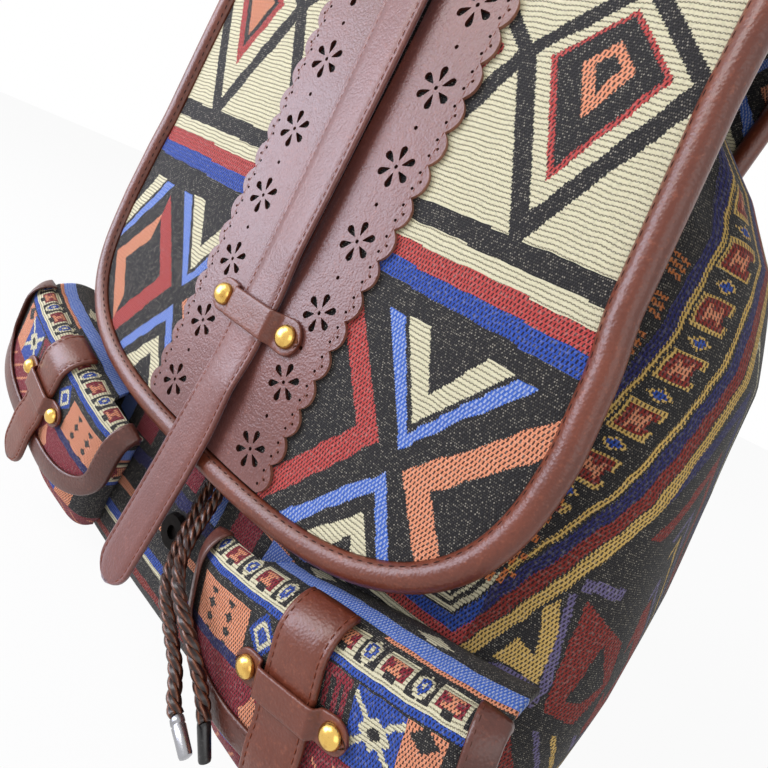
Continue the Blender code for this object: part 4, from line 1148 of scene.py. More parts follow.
# body
bodyShape = {
    "z": [0.0026, 0.006, 0.014, 0.035, 0.065, 0.080, 0.092, 0.120, 0.160, 0.200, 0.232, 0.252, 0.268, 0.283, 0.298],
    "front": [0.060, 0.066, 0.070, 0.072, 0.0715, 0.0692, 0.0668, 0.0670, 0.0630, 0.0590, 0.0545, 0.0475, 0.0425, 0.0380, 0.0440],
    "back": [0.058, 0.064, 0.068, 0.070, 0.070, 0.070, 0.070, 0.070, 0.070, 0.070, 0.0680, 0.0620, 0.0520, 0.0400, 0.0460],
    "half": [0.128, 0.134, 0.142, 0.152, 0.157, 0.157, 0.157, 0.155, 0.150, 0.143, 0.130, 0.114, 0.096, 0.078, 0.086],
    "square": [4.0, 4.0, 4.0, 4.0, 4.0, 4.0, 4.0, 4.0, 3.8, 3.5, 3.1, 2.8, 2.5, 2.3, 2.3],
    "pleat": [0, 0, 0, 0, 0, 0, 0, 0, 0, 0, 0.1, 0.3, 0.6, 0.9, 1.0],
    "pleatDepth": 4.0 * mm,
    "pleats": 18,
    "wall": 3.0 * mm,
    "fold": 1.3 * mm,
}


def atHeight(key, z):
    return np.interp(z, bodyShape["z"], bodyShape[key])


def bodyRing(z, inset, angle):
    power = 2 / atHeight("square", z)
    pleat = atHeight("pleat", z) * bodyShape["pleatDepth"] * np.cos(angle * bodyShape["pleats"])
    front, back = atHeight("front", z) - inset, atHeight("back", z) - inset
    x = signedPower(np.cos(angle), power) * (atHeight("half", z) - inset)
    y = signedPower(np.sin(angle), power)
    y = np.where(y < 0, y * front, y * back)
    # soft folds, deepest on the sides
    onSide = np.abs(np.cos(angle)) ** 2
    level = ease((z - 0.012) / 0.05) * ease((0.275 - z) / 0.05)
    fold = np.sin(angle * 7 + z * 34 + 0.7) * 0.5 + np.sin(angle * 4 - z * 61 + 1.9) * 0.5
    fold = fold * bodyShape["fold"] * level * (0.25 + 0.75 * onSide)
    out = pleat + fold
    return np.stack([x + out * np.cos(angle), y + out * np.sin(angle), np.full(len(angle), z)], axis=1)


def bodyFace(x, z):
    square = atHeight("square", z)
    share = np.minimum(0.999, np.abs(x) / atHeight("half", z))
    return -atHeight("front", z) * (1 - share**square) ** (1 / square)


def makeBody():
    columns = 260
    angle = -pi / 2 + np.linspace(-pi, pi, columns + 1)[:-1]
    levels = [np.linspace(0.0026, 0.014, 7), np.linspace(0.014, 0.23, 76)[1:], np.linspace(0.23, 0.298, 34)[1:]]
    rings = [bodyRing(z, 0.0, angle) for z in np.concatenate(levels)]
    rings.append(bodyRing(0.2983, 0.0009, angle))
    inside = np.concatenate([np.linspace(0.298, 0.2, 26), np.linspace(0.2, 0.0075, 12)[1:]])
    rings = np.array(rings + [bodyRing(z, bodyShape["wall"], angle) for z in inside])
    uvs = np.zeros((len(rings), columns + 1, 2))
    middle = columns // 2
    for i, ring in enumerate(rings):
        flat = bodyRing(min(float(ring[0, 2]), 0.16), 0.0, angle)
        run = lengths(np.vstack([flat, flat[:1]]))
        uvs[i, :, 0] = (run - run[middle]) / mm
        uvs[i, :, 1] = ring[0, 2] / mm
    return loftBody("body_cloth", rings, bodyFabric, uvs=uvs)


body = makeBody()
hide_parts("body_shell")
print("body is sewn")

# flap with its rolled edge
plan = flapPlan(116, 30, 2.4 * mm)
flapPoints = onFlap(plan[..., 0], plan[..., 1])
flap = clothSheet("flap_cloth", flapPoints, plan / mm, (0, -1, 0.3), flapShape["thick"], flapFabric)
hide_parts("flap")


def flapEdge(step):  # (s, t) along the flap's open edge, from the back left round to the back right
    corner = cornerPoint(np.linspace(-pi / 2, pi / 2, 900))
    t = np.linspace(flapShape["cornerT"], flapEnd, 600)[1:]
    half = flapHalf(t) - flapShape["pipingOut"]
    right = np.stack([half, t], axis=-1)
    return smoothed(evenly(np.vstack([right[::-1] * [-1, 1], corner, right]), step), 6)


def edgeFrames(points, normals, middle):  # each point with its way out along the surface and its normal
    frames = []
    for i, point in enumerate(points):
        ahead = points[min(len(points) - 1, i + 1)] - points[max(0, i - 1)]
        frames.append((point, unit(np.cross(ahead, normals[i])), normals[i]))
    if sum((point - middle) @ out for point, out, _ in frames) < 0:
        frames = [(point, -out, normal) for point, out, normal in frames]
    return frames


def edgeSolid(name, frames, section, material):
    return loftBody(name, [[point + out * a + normal * b for a, b in section] for point, out, normal in frames], material)


edge = flapEdge(1.6 * mm)
edgeFrame = edgeFrames(onFlap(edge[:, 0], edge[:, 1]), flapNormal(edge[:, 1]), onFlap(0.0, 0.10))
rollSection = []
radius, out, sink = flapShape["pipingRadius"], flapShape["pipingOut"], flapShape["thick"] / 2
halfSlot = sink + 0.3 * mm
opening = asin(halfSlot / radius)
for angle in np.linspace(pi - opening, -pi + opening, 30):
    rollSection.append((out + radius * cos(angle), radius * sin(angle) - sink))
rollSection += [(0.4 * mm, -halfSlot - sink), (0.4 * mm, halfSlot - sink)]
piping = edgeSolid("piping_roll", edgeFrame, rollSection, pipingLeather)
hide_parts("flap_piping")
# stitches where the roll meets the cloth
seamAngle = radians(136)
seamOut, seamUp = out + radius * cos(seamAngle), radius * sin(seamAngle) - sink
seamLine = [point + away * seamOut + normal * seamUp for point, away, normal in edgeFrame]
seamNormals = [away * cos(seamAngle) + normal * sin(seamAngle) for _, away, normal in edgeFrame]
stitchRow("piping_stitches", seamLine, seamNormals, pipingThread, "piping")
print("flap and piping are sewn")

# lace bands
laceShape = {
    "thick": 1.3 * mm,
    "lift": 0.3 * mm,
    "pitch": 27.0 * mm,
    "line": 26.3 * mm,
    "flower": 7.2 * mm,
    "petalStart": 2.2 * mm,
    "petalHalf": 1.35 * mm,
    "eye": 0.75 * mm,
    "dot": 0.75 * mm,
    "edgeDot": 0.56 * mm,
    "scallopsPerFlower": 2.5,
    "scallopDepth": 3.1 * mm,
    "outer": 40.6 * mm,
    "inner": 6.0 * mm,
    "overHem": 4.4 * mm,
    "stitchIn": 3.35 * mm,
}


def roundHole(s, t, radius, sides=10):
    angles = np.arange(sides) * 2 * pi / sides
    return np.stack([s + radius * np.cos(angles), t + radius * np.sin(angles)], axis=-1)


def petalHole(s, t, angle):  # a drop, its point towards the flower's eye
    start, end, half = laceShape["petalStart"], laceShape["flower"], laceShape["petalHalf"]
    shares = np.array([0.0, 0.16, 0.34, 0.52, 0.70, 0.85, 0.95, 1.0])
    widths = np.array([0.10, 0.34, 0.60, 0.82, 1.0, 0.88, 0.52, 0.0]) * half
    along = start + (end - start) * shares
    outline = list(zip(along, widths)) + list(zip(along[-2::-1], -widths[-2::-1]))
    a = np.array([p[0] for p in outline])
    b = np.array([p[1] for p in outline])
    return np.stack([s + a * cos(angle) - b * sin(angle), t + a * sin(angle) + b * cos(angle)], axis=-1)


def laceOutline():  # the right band's edge, and the small holes in its scallops
    outer, valley = laceShape["outer"], laceShape["outer"] - laceShape["scallopDepth"]
    points = [(s, float(edgeLevel(s)) + laceShape["overHem"]) for s in np.linspace(laceShape["inner"], valley, 14)]
    start = points[-1][1]
    scallop = laceShape["pitch"] / laceShape["scallopsPerFlower"]
    count = int((laceTop - start) / scallop)
    pitch = (laceTop - start) / count
    marks = []
    for i in range(count):
        for share in np.linspace(0, 1, 13)[1:]:
            bulge = laceShape["scallopDepth"] * (1 - abs(2 * share - 1) ** 2.3)
            points.append((valley + bulge, start + (i + share) * pitch))
        middle = start + (i + 0.5) * pitch
        marks += [(outer - 4.3 * mm, middle - 2.7 * mm), (outer - 4.3 * mm, middle + 2.7 * mm), (outer - 2.5 * mm, middle)]
    points.append((laceShape["inner"], laceTop))
    return np.array(points), marks


def flatPlate(outline, holes, fill):  # triangles between an outline and its holes
    loops = [outline, *holes]
    edges, first = [], 0
    for loop in loops:
        edges += [(first + k, first + (k + 1) % len(loop)) for k in range(len(loop))]
        first += len(loop)
    found = delaunay_2d_cdt([Vector(v) for v in np.vstack([*loops, fill])], edges, [], 0, 1e-7, False)
    points = np.array([tuple(v) for v in found[0]])
    faces = np.array([face for face in found[2] if len(face) == 3])
    middles = points[faces].mean(axis=1)
    keep = insideLoop(middles, outline)
    for hole in holes:
        low, high = hole.min(axis=0), hole.max(axis=0)
        near = np.all((middles > low) & (middles < high), axis=1)
        keep[near] &= ~insideLoop(middles[near], hole)
    return points, faces[keep]


def insideLoop(points, loop):
    a, b = loop, np.roll(loop, -1, axis=0)
    inside = np.zeros(len(points), bool)
    for (x0, y0), (x1, y1) in zip(a, b):
        if y0 == y1:
            continue
        crosses = (points[:, 1] > min(y0, y1)) & (points[:, 1] <= max(y0, y1))
        where = x0 + (points[:, 1] - y0) * (x1 - x0) / (y1 - y0)
        inside ^= crosses & (points[:, 0] < where)
    return inside


def bentPlate(name, points, faces, place, lift, thick, materials, paleFrom=1.0):
    # a cut plate laid on the surface that place gives, its back and its walls in the second material; walls out past
    # paleFrom take the third material, a painted highlight
    verts = np.vstack([place(points[:, 0], points[:, 1], height) for height in (lift + thick, lift)])
    half, faces = len(points), faces.tolist()
    plates = [face for a, b, c in faces for face in ((a, b, c), (half + c, half + b, half + a))]
    looks = [0, 1] * len(faces)
    pairs = dict.fromkeys(pair for a, b, c in faces for pair in ((a, b), (b, c), (c, a)))
    for a, b in pairs:
        if (b, a) not in pairs:
            plates.append((b, a, half + a, half + b))
            pale = len(materials) > 2 and abs(points[a][0] + points[b][0]) / 2 > paleFrom
            looks.append(2 if pale else 1)
    item = makeMesh(name, verts, plates, materials[0], "bag", np.vstack([points, points]) / mm)
    for material in materials[1:]:
        item.data.materials.append(material)
    item.data.polygons.foreach_set("material_index", looks)
    facesOut(item)
    item.data.set_sharp_from_angle(angle=radians(55))
    return item


laceHide = leather(
    "lace_leather", face=ink(118, 60, 46), dark=ink(98, 47, 35), rubbed=ink(150, 92, 76),
    gloss=0.33, relief=0.26 * mm, bloom=0.35,
)
# pale walls along the scallop rims: a painted highlight on the lace's outer edge
laceRimHighlight = leather("lace_rim_highlight", face=ink(186, 132, 108), dark=ink(120, 74, 58), gloss=0.55)
outline, marks = laceOutline()
holes = [roundHole(s, t, laceShape["edgeDot"], 8) for s, t in marks]
for k in range(int(laceTop / laceShape["pitch"]) + 1):
    line, t = laceShape["line"], k * laceShape["pitch"]
    if t + laceShape["flower"] < laceTop:
        holes += [petalHole(line, t, turn * pi / 3 + pi / 2) for turn in range(6)]
        holes.append(roundHole(line, t, laceShape["eye"], 8))
    if t + laceShape["pitch"] / 2 < laceTop:
        holes.append(roundHole(line, t + laceShape["pitch"] / 2, laceShape["dot"], 8))
fill = np.array([
    (s, t) for t in np.arange(outline[:, 1].min() + 0.004, laceTop - 0.001, 0.0031)
    for s in np.linspace(laceShape["inner"] + 0.002, laceShape["outer"] - 0.0055, 10) if edgeLevel(s) + 0.006 < t
])
for hole in holes:
    low, high = hole.min(axis=0) - 0.0005, hole.max(axis=0) + 0.0005
    fill = fill[~np.all((fill > low) & (fill < high), axis=1)]
points, faces = flatPlate(outline, holes, fill)
for side, word in sides:
    band = bentPlate(
        "lace_" + word, points * [side, 1], faces[:, ::side], onFlap, laceShape["lift"], laceShape["thick"],
        (laceHide, edgeLeather, laceRimHighlight), laceShape["outer"] - laceShape["scallopDepth"] - 0.3 * mm,
    )
    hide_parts("lace_band_" + word)
    run = np.arange(float(edgeLevel(0.037)) + 0.006, laceTop, 0.0015)
    at = np.full(len(run), side * (laceShape["outer"] - laceShape["stitchIn"]))
    line = onFlap(at, run, laceShape["lift"] + laceShape["thick"])
    stitchRow("lace_stitches_" + word, line, flapNormal(run), redThread, "lace")
print("lace bands are cut")

# centre strap, keeper and rivets
keeperShape = {
    "level": 0.0410,
    "half": 6.8 * mm,
    "thick": 1.4 * mm,
    "endRadius": 6.6 * mm,
    "spread": 19.4 * mm,
    "low": 3.3 * mm,
    "high": 6.9 * mm,
}
strapShape = {
    "half": 10.0 * mm,
    "thick": 2.2 * mm,
    "end": -0.0760,
    "stations": [-0.076, -0.072, -0.064, -0.056, -0.040, -0.026, -0.017, -0.008, 0.004, 0.020],
    "lifts": [0.0125, 0.0122, 0.0118, 0.0108, 0.0092, 0.0078, 0.0072, 0.0066, 0.0056, 0.0041],
    "stitchIn": 2.0 * mm,
    "stand": 2.6 * mm,
}


def strapSolid(name, rows, thick, material, groove=0.0):
    # rows of (left point, right point, normal), swept as a flat strip with rounded edges
    rings, uvs = [], []
    run = 0.0
    before = None
    for left, right, normal in rows:
        middle = (left + right) / 2
        if before is not None:
            run += np.linalg.norm(middle - before)
        before = middle
        half = np.linalg.norm(right - left) / 2
        across = (right - left) / (2 * half)
        bevel = min(thick * 0.42, half * 0.5)
        flat = half - bevel
        ring = [(x * flat, -0.5 * thick) for x in (-1.0, -0.5, 0.0, 0.5, 1.0)]
        for angle in np.linspace(-pi / 2, pi / 2, 6)[1:-1]:
            ring.append((flat + bevel * cos(angle), thick / 2 * sin(angle)))
        steps = [flat, half - 1.5 * mm, half - 2.0 * mm, half - 2.6 * mm, flat * 0.5]
        for x in (*steps, 0.0, *(-step for step in steps[::-1])):
            sunk = groove * max(0.0, 1 - abs(abs(x) - (half - 2.0 * mm)) / (0.7 * mm)) if half > 5.5 * mm else 0.0
            x = max(-flat, min(flat, x))
            ring.append((x, thick / 2 - sunk + groove * 0.6 * max(0.0, 1 - (x / half) ** 2)))
        for angle in np.linspace(pi / 2, 3 * pi / 2, 6)[1:-1]:
            ring.append((-flat + bevel * cos(angle), thick / 2 * sin(angle)))
        rings.append([middle + across * a + normal * (b - thick / 2) for a, b in ring])
        uvs.append([(a / mm, run / mm) for a, _ in ring])
    return loftBody(name, rings, material, uvs=uvs)


def strapRows(stations, lifts, widths, place, normalAt):
    return [
        (place(-half, t, lift), place(half, t, lift), unit(normalAt(t)))
        for t, lift, half in zip(stations, lifts, widths)
    ]


def roundedWidths(stations, end, half, length):  # a strap's end narrows to a blunt round
    over = np.clip((np.asarray(stations) - end) / length, 0.0, 1.0)
    return half * np.sqrt(np.clip(1 - (1 - over) ** 2.4, 0.06, 1.0))


strapEnd = strapShape["end"]
stations = [np.linspace(strapEnd, strapEnd + 0.012, 9), np.arange(strapEnd + 0.0145, laceTop, 0.0025), [laceTop]]
stations = np.concatenate(stations)
lifts = smoothed(np.interp(stations, strapShape["stations"], strapShape["lifts"]), 4)
widths = roundedWidths(stations, strapEnd, strapShape["half"], 0.011)


def strapPlace(s, t, lift):  # its right edge stands off the bands, except under the keeper
    free = 0.25 + 0.75 * ease((abs(t - keeperShape["level"]) - 0.008) / 0.022)
    stand = ease((t + 0.01) / 0.03) * ease((0.24 - t) / 0.05) * free
    return onFlap(s, t, lift + strapShape["stand"] * stand * ease((s + strapShape["half"]) / (2 * strapShape["half"])))


rows = strapRows(stations, lifts, widths, strapPlace, flapNormal)
strap = strapSolid("strap_middle", rows, strapShape["thick"], strapLeather, groove=0.35 * mm)
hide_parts("centre_strap")
for side, word in sides:
    line = [
        strapPlace(side * max(width - strapShape["stitchIn"], 0.0004), t, lift - 0.1 * mm)
        for t, lift, width in zip(stations, lifts, widths)
    ]
    stitchRow("strap_stitches_" + word, line[2:], flapNormal(stations[2:]), redThread, "strap")

rivetShape = {
    "profile": [
        (0.0044, -0.0001), (0.0044, 0.0004), (0.0041, 0.0011), (0.0036, 0.0018), (0.0028, 0.0024), (0.0018, 0.0028),
        (0.0008, 0.00298), (0.0, 0.0030),
    ],
    "shank": 1.3 * mm,
    "foot": 3.4 * mm,
    "footThick": 0.8 * mm,
}


def keeperTab(name, level, spread, low, high, halfInside, place, normalAt, material, slim=1.0):
    # a tab over a strap, down to a rivet on either side of it
    endRadius = keeperShape["endRadius"] * slim
    end, foot = spread + endRadius, spread - 4.8 * mm
    tip = end * np.sin(np.linspace(1.05, pi / 2, 8))
    rows = []
    for s in np.concatenate([-tip[::-1], np.linspace(-end * 0.84, end * 0.84, 45), tip]):
        over = max(0.0, abs(s) - spread) / endRadius
        waist = 1 - 0.14 * float(ease((spread - abs(s)) / (0.5 * spread)))
        half = max(keeperShape["half"] * slim * waist * sqrt(max(0.0, 1 - over * over)), 0.4 * mm)
        lift = low + (high - low) * float(ease((foot - abs(s)) / (foot - halfInside)))
        rows.append((place(s, level - half, lift), place(s, level + half, lift), unit(normalAt(level, s))))
    return strapSolid(name, rows, keeperShape["thick"], material)


keeper = keeperTab(
    "keeper_leather", keeperShape["level"], keeperShape["spread"], keeperShape["low"], keeperShape["high"],
    strapShape["half"] + 0.8 * mm, onFlap, lambda t, s: flapNormal(t), brownLeather,
)
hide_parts("keeper_tab")


def goldRivet(name, node, seat, axis, length, size=1.0):
    foot, shank, top = rivetShape["foot"], rivetShape["shank"], rivetShape["footThick"] - length
    profile = [(0.0, -length), (foot, -length), (foot, top), (shank, top), (shank, -0.0001)]
    profile += [(r * size, h * size) for r, h in rivetShape["profile"]]
    rivet = dome(name, profile, seat, axis, gold, steps=36)
    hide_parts(node)
    return rivet


for side, word in sides:
    seat = onFlap(side * keeperShape["spread"], keeperShape["level"], keeperShape["low"] + 0.3 * mm)
    length = keeperShape["low"] + flapShape["thick"] + 1.4 * mm
    goldRivet("rivet_" + word, "keeper_rivet_" + word, seat, flapNormal(keeperShape["level"]), length)
print("strap and keeper are set")

# front pockets
pocketShape = {
    "x": 0.0885,
    "z": 0.0810,
    "turn": radians(13.0),
    "half": 0.0500,
    "low": -0.0640,
    "high": -0.0020,
    "depth": 0.0160,
    "wall": 1.6 * mm,
    "bodyFront": 0.0720,
    "loose": 2.1 * mm,
    "flapHalf": 0.0570,
    "flapTop": 0.0090,
    "flapLow": -0.0420,
    "flapDepth": 0.0212,
    "flapThick": 1.8 * mm,
    "shoulder": 0.0100,
    "corner": 0.030,
    "bindingWidth": 8.0 * mm,
    "bindingWall": 1.0 * mm,
    "bindingUnder": 1.2 * mm,
    "strapEnd": -0.0570,
    "keeperLevel": -0.0150,
    "spread": 17.2 * mm,
    "keeperSize": 0.80,  # against the centre strap's
    "rivetSize": 0.84,
}


def belowSeam(v):  # the length along the pocket flap from its seam down to level v
    shoulder = pocketShape["shoulder"]
    return pocketShape["flapTop"] - v - shoulder + shoulder * pi / 2


frontLength = belowSeam(pocketShape["flapLow"])


def pocketXZ(side, u, v):
    x = pocketShape["x"] + u * cos(pocketShape["turn"]) - v * sin(pocketShape["turn"])
    z = pocketShape["z"] + u * sin(pocketShape["turn"]) + v * cos(pocketShape["turn"])
    return side * x, z


def pocketPoint(side, u, v, depth):
    x, z = pocketXZ(side, u, v)
    return np.stack(np.broadcast_arrays(x, -pocketShape["bodyFront"] - depth, z), axis=-1)


def acrossDepth(u):
    return (1 - np.minimum(0.98, np.abs(u) / (pocketShape["flapHalf"] * 1.09)) ** 3.6) ** (1 / 3.6)


def pocketSlack(u, p):  # the little pocket flap's own soft waves
    fade = ease((p - 0.012) / 0.012)
    return 0.5 * mm * fade * (np.sin(u * 95 + p * 60 + 0.8) * 0.6 + np.sin(u * 40 - p * 120) * 0.4)


def onPocketFlap(side, u, p, lift=0.0):  # p is the length below the seam
    u, p, lift = np.broadcast_arrays(np.asarray(u, float), np.asarray(p, float), np.asarray(lift, float))
    shoulder = pocketShape["shoulder"]
    bend = np.clip(p / shoulder, 0.0, pi / 2)  # above the seam line it runs level, back to the body
    reach = pocketShape["flapDepth"] - shoulder + shoulder * np.sin(bend) + np.minimum(p, 0.0)
    fall = shoulder * (1 - np.cos(bend)) + np.maximum(0.0, p - shoulder * pi / 2)
    out = lift + pocketSlack(u, p)
    depth = reach * acrossDepth(u)
    return pocketPoint(side, u, pocketShape["flapTop"] - fall + out * np.cos(bend), depth + out * np.sin(bend))


def pocketNormal(side, u, p):
    step = 0.0005
    a = onPocketFlap(side, u + step, p) - onPocketFlap(side, u - step, p)
    b = onPocketFlap(side, u, p + step) - onPocketFlap(side, u, p - step)
    normal = unit(np.cross(a, b))
    bend = min(pi / 2, max(0.0, float(p) / pocketShape["shoulder"]))
    up = np.array([side * -sin(pocketShape["turn"]), 0.0, cos(pocketShape["turn"])])
    guide = np.array([0.0, -sin(bend), 0.0]) + up * cos(bend)
    return normal if normal @ guide > 0 else -normal


def pocketRing(side, v, half, depth, inset):
    ring, plan = [], []
    flat = half - inset
    for angle in np.linspace(0, pi, 57):
        share = sin(angle) ** 0.62 if 0 < angle < pi - 1e-9 else 0.0
        plan.append((float(signedPower(cos(angle), 0.62)) * flat, share))
    for u in np.linspace(-flat, flat, 30)[1:-1]:
        plan.append((float(u), 0.0))
    for u, share in plan:
        x, z = pocketXZ(side, u, v)
        back = float(bodyFace(x, z)) - pocketShape["loose"] - inset
        front = -pocketShape["bodyFront"] - depth + inset
        if share > 0.3 and not inset:
            wave = 0.9 * mm * sin(u * 130 + v * 210) * (0.4 + 0.6 * sin(v * 90) ** 2)
            front += wave * ease((0.05 - abs(u)) / 0.02) + 0.6 * mm
        ring.append((x, back + (front - back) * share, z))
    return ring


def pocketBody(side, word):
    low, high = pocketShape["low"], pocketShape["high"]
    half, depth = pocketShape["half"], pocketShape["depth"]
    marks = [low, low + 0.004, low + 0.014, low + 0.026, low + 0.038, low + 0.050, high]
    halves = [half - 0.009, half - 0.004, half, half, half, half, half - 0.001]
    depths = [depth - 0.009, depth - 0.004, depth, depth, depth, depth, depth - 0.002]
    rise = low + np.array([0, 0.0009, 0.0022, 0.004, 0.0065, 0.009, 0.0115])
    levels, inside = np.concatenate([rise, np.linspace(low + 0.014, high, 22)]), np.linspace(high, low + 0.014, 10)
    wall = pocketShape["wall"]
    rings = [
        pocketRing(side, v, np.interp(v, marks, halves), np.interp(v, marks, depths), inset)
        for heights, inset in ((levels, 0.0), (inside, wall)) for v in heights
    ]
    rings = np.array([*rings, pocketRing(side, low + 0.005, half - 0.004, depth - 0.004, wall)])
    uvs = np.zeros((*rings.shape[:2], 2))
    run = lengths(rings[12]) / mm
    uvs[..., 0] = run - run[28] + 6.0
    heights = np.concatenate([levels, inside, [low + 0.005]]) / mm
    uvs[..., 1] = heights[:, None] + 28.0
    item = loftBody("pocket_bag_" + word, rings, pocketFabric, uvs=uvs)
    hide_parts("pocket_" + word)


def pocketPlan(columns, cornerRows):
    half = pocketShape["flapHalf"]
    straight = frontLength - pocketShape["corner"]
    shoulderP = pocketShape["shoulder"] * pi / 2
    rows = []
    across = np.linspace(-half, half, columns + 1)
    for p in np.concatenate([np.linspace(0.12, 1.0, 12) * shoulderP, np.linspace(shoulderP, straight, 4)[1:]]):
        rows.append(np.stack([across, np.full(columns + 1, p)], axis=-1))

    def rim(angle):
        fall = np.abs(np.cos(angle)) ** 0.8 * pocketShape["corner"]
        return np.stack([signedPower(np.sin(angle), 0.8) * half, straight + fall], axis=-1)

    bottom = rim(np.linspace(-pi / 4, pi / 4, columns + 1))
    sideCurve = rim(np.linspace(pi / 2, pi / 4, cornerRows + 1))
    top = rows[-1]
    return np.array(rows + spannedRows(top, bottom, sideCurve)[1:])


def pocketFlap(side, word):
    plan = pocketPlan(84, 24)
    points = [onPocketFlap(side, row[:, 0], row[:, 1]) for row in plan]
    seam = []
    for u, p in plan[0]:
        first = onPocketFlap(side, u, p)
        reach = 0.0015 + 0.0200 * float(ease((u + 0.034) / 0.014))
        level = first[2] + p * 0.2
        atBody = float(bodyFace(first[0], level)) - 0.5 * mm
        seam.append((first[0], min(atBody, first[1] + reach), level))
    seam = np.array(seam)
    length = (seam[:, 1] - points[0][:, 1])[:, None]
    shares = np.linspace(0, 1, 15)[:-1]
    puff = ease((plan[0][:, 0] + 0.02) / 0.02)[:, None] * np.array([0, 0, 1.0])
    crease = 0.86  # the fold swells up to here, and dips beyond
    swell = [
        1.9 * mm * sin(share / crease * pi) if share < crease else -0.9 * mm * sin((share - crease) / (1 - crease) * pi)
        for share in shares
    ]
    backRows = [seam + (points[0] - seam) * share + puff * up for share, up in zip(shares, swell)]
    cuts = [plan[0] - np.pad(length * (1 - share), ((0, 0), (1, 0))) for share in shares]
    points = backRows + points
    cut = np.concatenate([np.array(cuts), plan])
    uvs = np.stack([cut[..., 0], pocketShape["flapTop"] + 0.004 - cut[..., 1]], axis=-1) / mm
    item = clothSheet("pocket_flap_cloth_" + word, points, uvs, (0, -1, 0.2), pocketShape["flapThick"], pocketFabric)
    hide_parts("pocket_flap_" + word)

    fine = evenly(np.vstack([plan[:, 0], plan[-1, 1:-1], plan[::-1, -1]]), 1.6 * mm)
    places = [onPocketFlap(side, u, p) for u, p in fine]
    normals = [pocketNormal(side, u, max(p, 0.0008)) for u, p in fine]
    frames = edgeFrames(places, normals, pocketPoint(side, 0.0, -0.010, 0.0))
    near, far = 0.6 * mm, -pocketShape["flapThick"] - 0.6 * mm
    wall, width, under = pocketShape["bindingWall"], pocketShape["bindingWidth"], pocketShape["bindingUnder"]
    section = [(-width, near), (-width + 0.1 * mm, near + wall * 0.7), (-width + 0.6 * mm, near + wall)]
    section += [(-width * share, near + wall + 0.25 * mm * sin(share * pi)) for share in (0.8, 0.6, 0.4, 0.2)]
    middleHeight, reach = (near + far) / 2, (near - far) / 2 + wall
    for angle in np.linspace(pi / 2, -pi / 2, 9):
        section.append((near * 0.4 + wall * 1.2 * cos(angle), middleHeight + reach * sin(angle)))
    section += [(-under, far - wall), (-under, far), (0.3 * mm, far), (0.3 * mm, near)]
    binding = edgeSolid("pocket_edge_" + word, frames, section, darkLeather)
    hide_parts("pocket_binding_" + word)
    line = [point - out * (width - 1.3 * mm) + normal * (near + wall + 0.04 * mm) for point, out, normal in frames]
    stitchRow("pocket_edge_stitches_" + word, line, normals, darkThread, "pocketEdge")


def pocketStrap(side, word):
    gap, binding = 0.3 * mm, pocketShape["bindingWall"]
    lift = 2 * gap + strapShape["thick"]
    hem = lift + binding + gap + 0.4 * mm
    bottom = belowSeam(pocketShape["strapEnd"])
    stations = np.concatenate([np.arange(-0.0006, bottom - 0.010, 0.0022), np.linspace(bottom - 0.010, bottom, 8)])
    lifts = smoothed(np.interp(stations, [frontLength - 0.013, frontLength - 0.009], [lift, hem]), 3)
    widths = roundedWidths(-stations, -bottom, strapShape["half"], 0.010)

    def place(s, p, up):
        return onPocketFlap(side, s, p, up)

    rows = strapRows(stations, lifts, widths, place, lambda p: pocketNormal(side, 0.0, p))
    item = strapSolid("pocket_strap_leather_" + word, rows, strapShape["thick"], brownLeather, groove=0.3 * mm)
    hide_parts("pocket_strap_" + word)
    for end, tag in ((1, "outer"), (-1, "inner")):
        line = [
            place(end * max(width - 2.0 * mm, 0.0004), p, up + 0.05 * mm)
            for p, up, width in zip(stations, lifts, widths)
        ]
        normals = [pocketNormal(side, 0.0, p) for p in stations]
        stitchRow("pocket_strap_stitches_" + word + "_" + tag, line, normals, redThread, "pocketStrap")
    level = belowSeam(pocketShape["keeperLevel"])
    low = gap * 2 + keeperShape["thick"]
    high = lift + 2 * gap + keeperShape["thick"]
    spread = pocketShape["spread"]
    tab = keeperTab(
        "pocket_keeper_leather_" + word, level, spread, low, high, strapShape["half"] + 0.6 * mm, place,
        lambda p, s: pocketNormal(side, s, p), brownLeather, pocketShape["keeperSize"],
    )
    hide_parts("pocket_keeper_" + word)
    for end, tag in ((1, "outer"), (-1, "inner")):
        name = word + "_" + tag
        seat, axis = onPocketFlap(side, end * spread, level, low + gap), pocketNormal(side, end * spread, level)
        length = low + pocketShape["flapThick"] + 1.0 * mm
        goldRivet("pocket_dome_" + name, "pocket_rivet_" + name, seat, axis, length, pocketShape["rivetSize"])


for side, word in sides:
    pocketBody(side, word)
    pocketFlap(side, word)
    pocketStrap(side, word)
print("pockets are sewn")

# metal fittings keep their solids
def dressNode(name, material):
    item = bpy.data.objects[name]
    item.data.materials.clear()
    item.data.materials.append(material)


for name in ("eyelet_left", "eyelet_right", "slider_left", "slider_right"):
    dressNode(name, brass)
for name in ("strap_snap", "body_snap"):
    dressNode(name, darkBrass)
dressNode("base_panel", darkLeather)

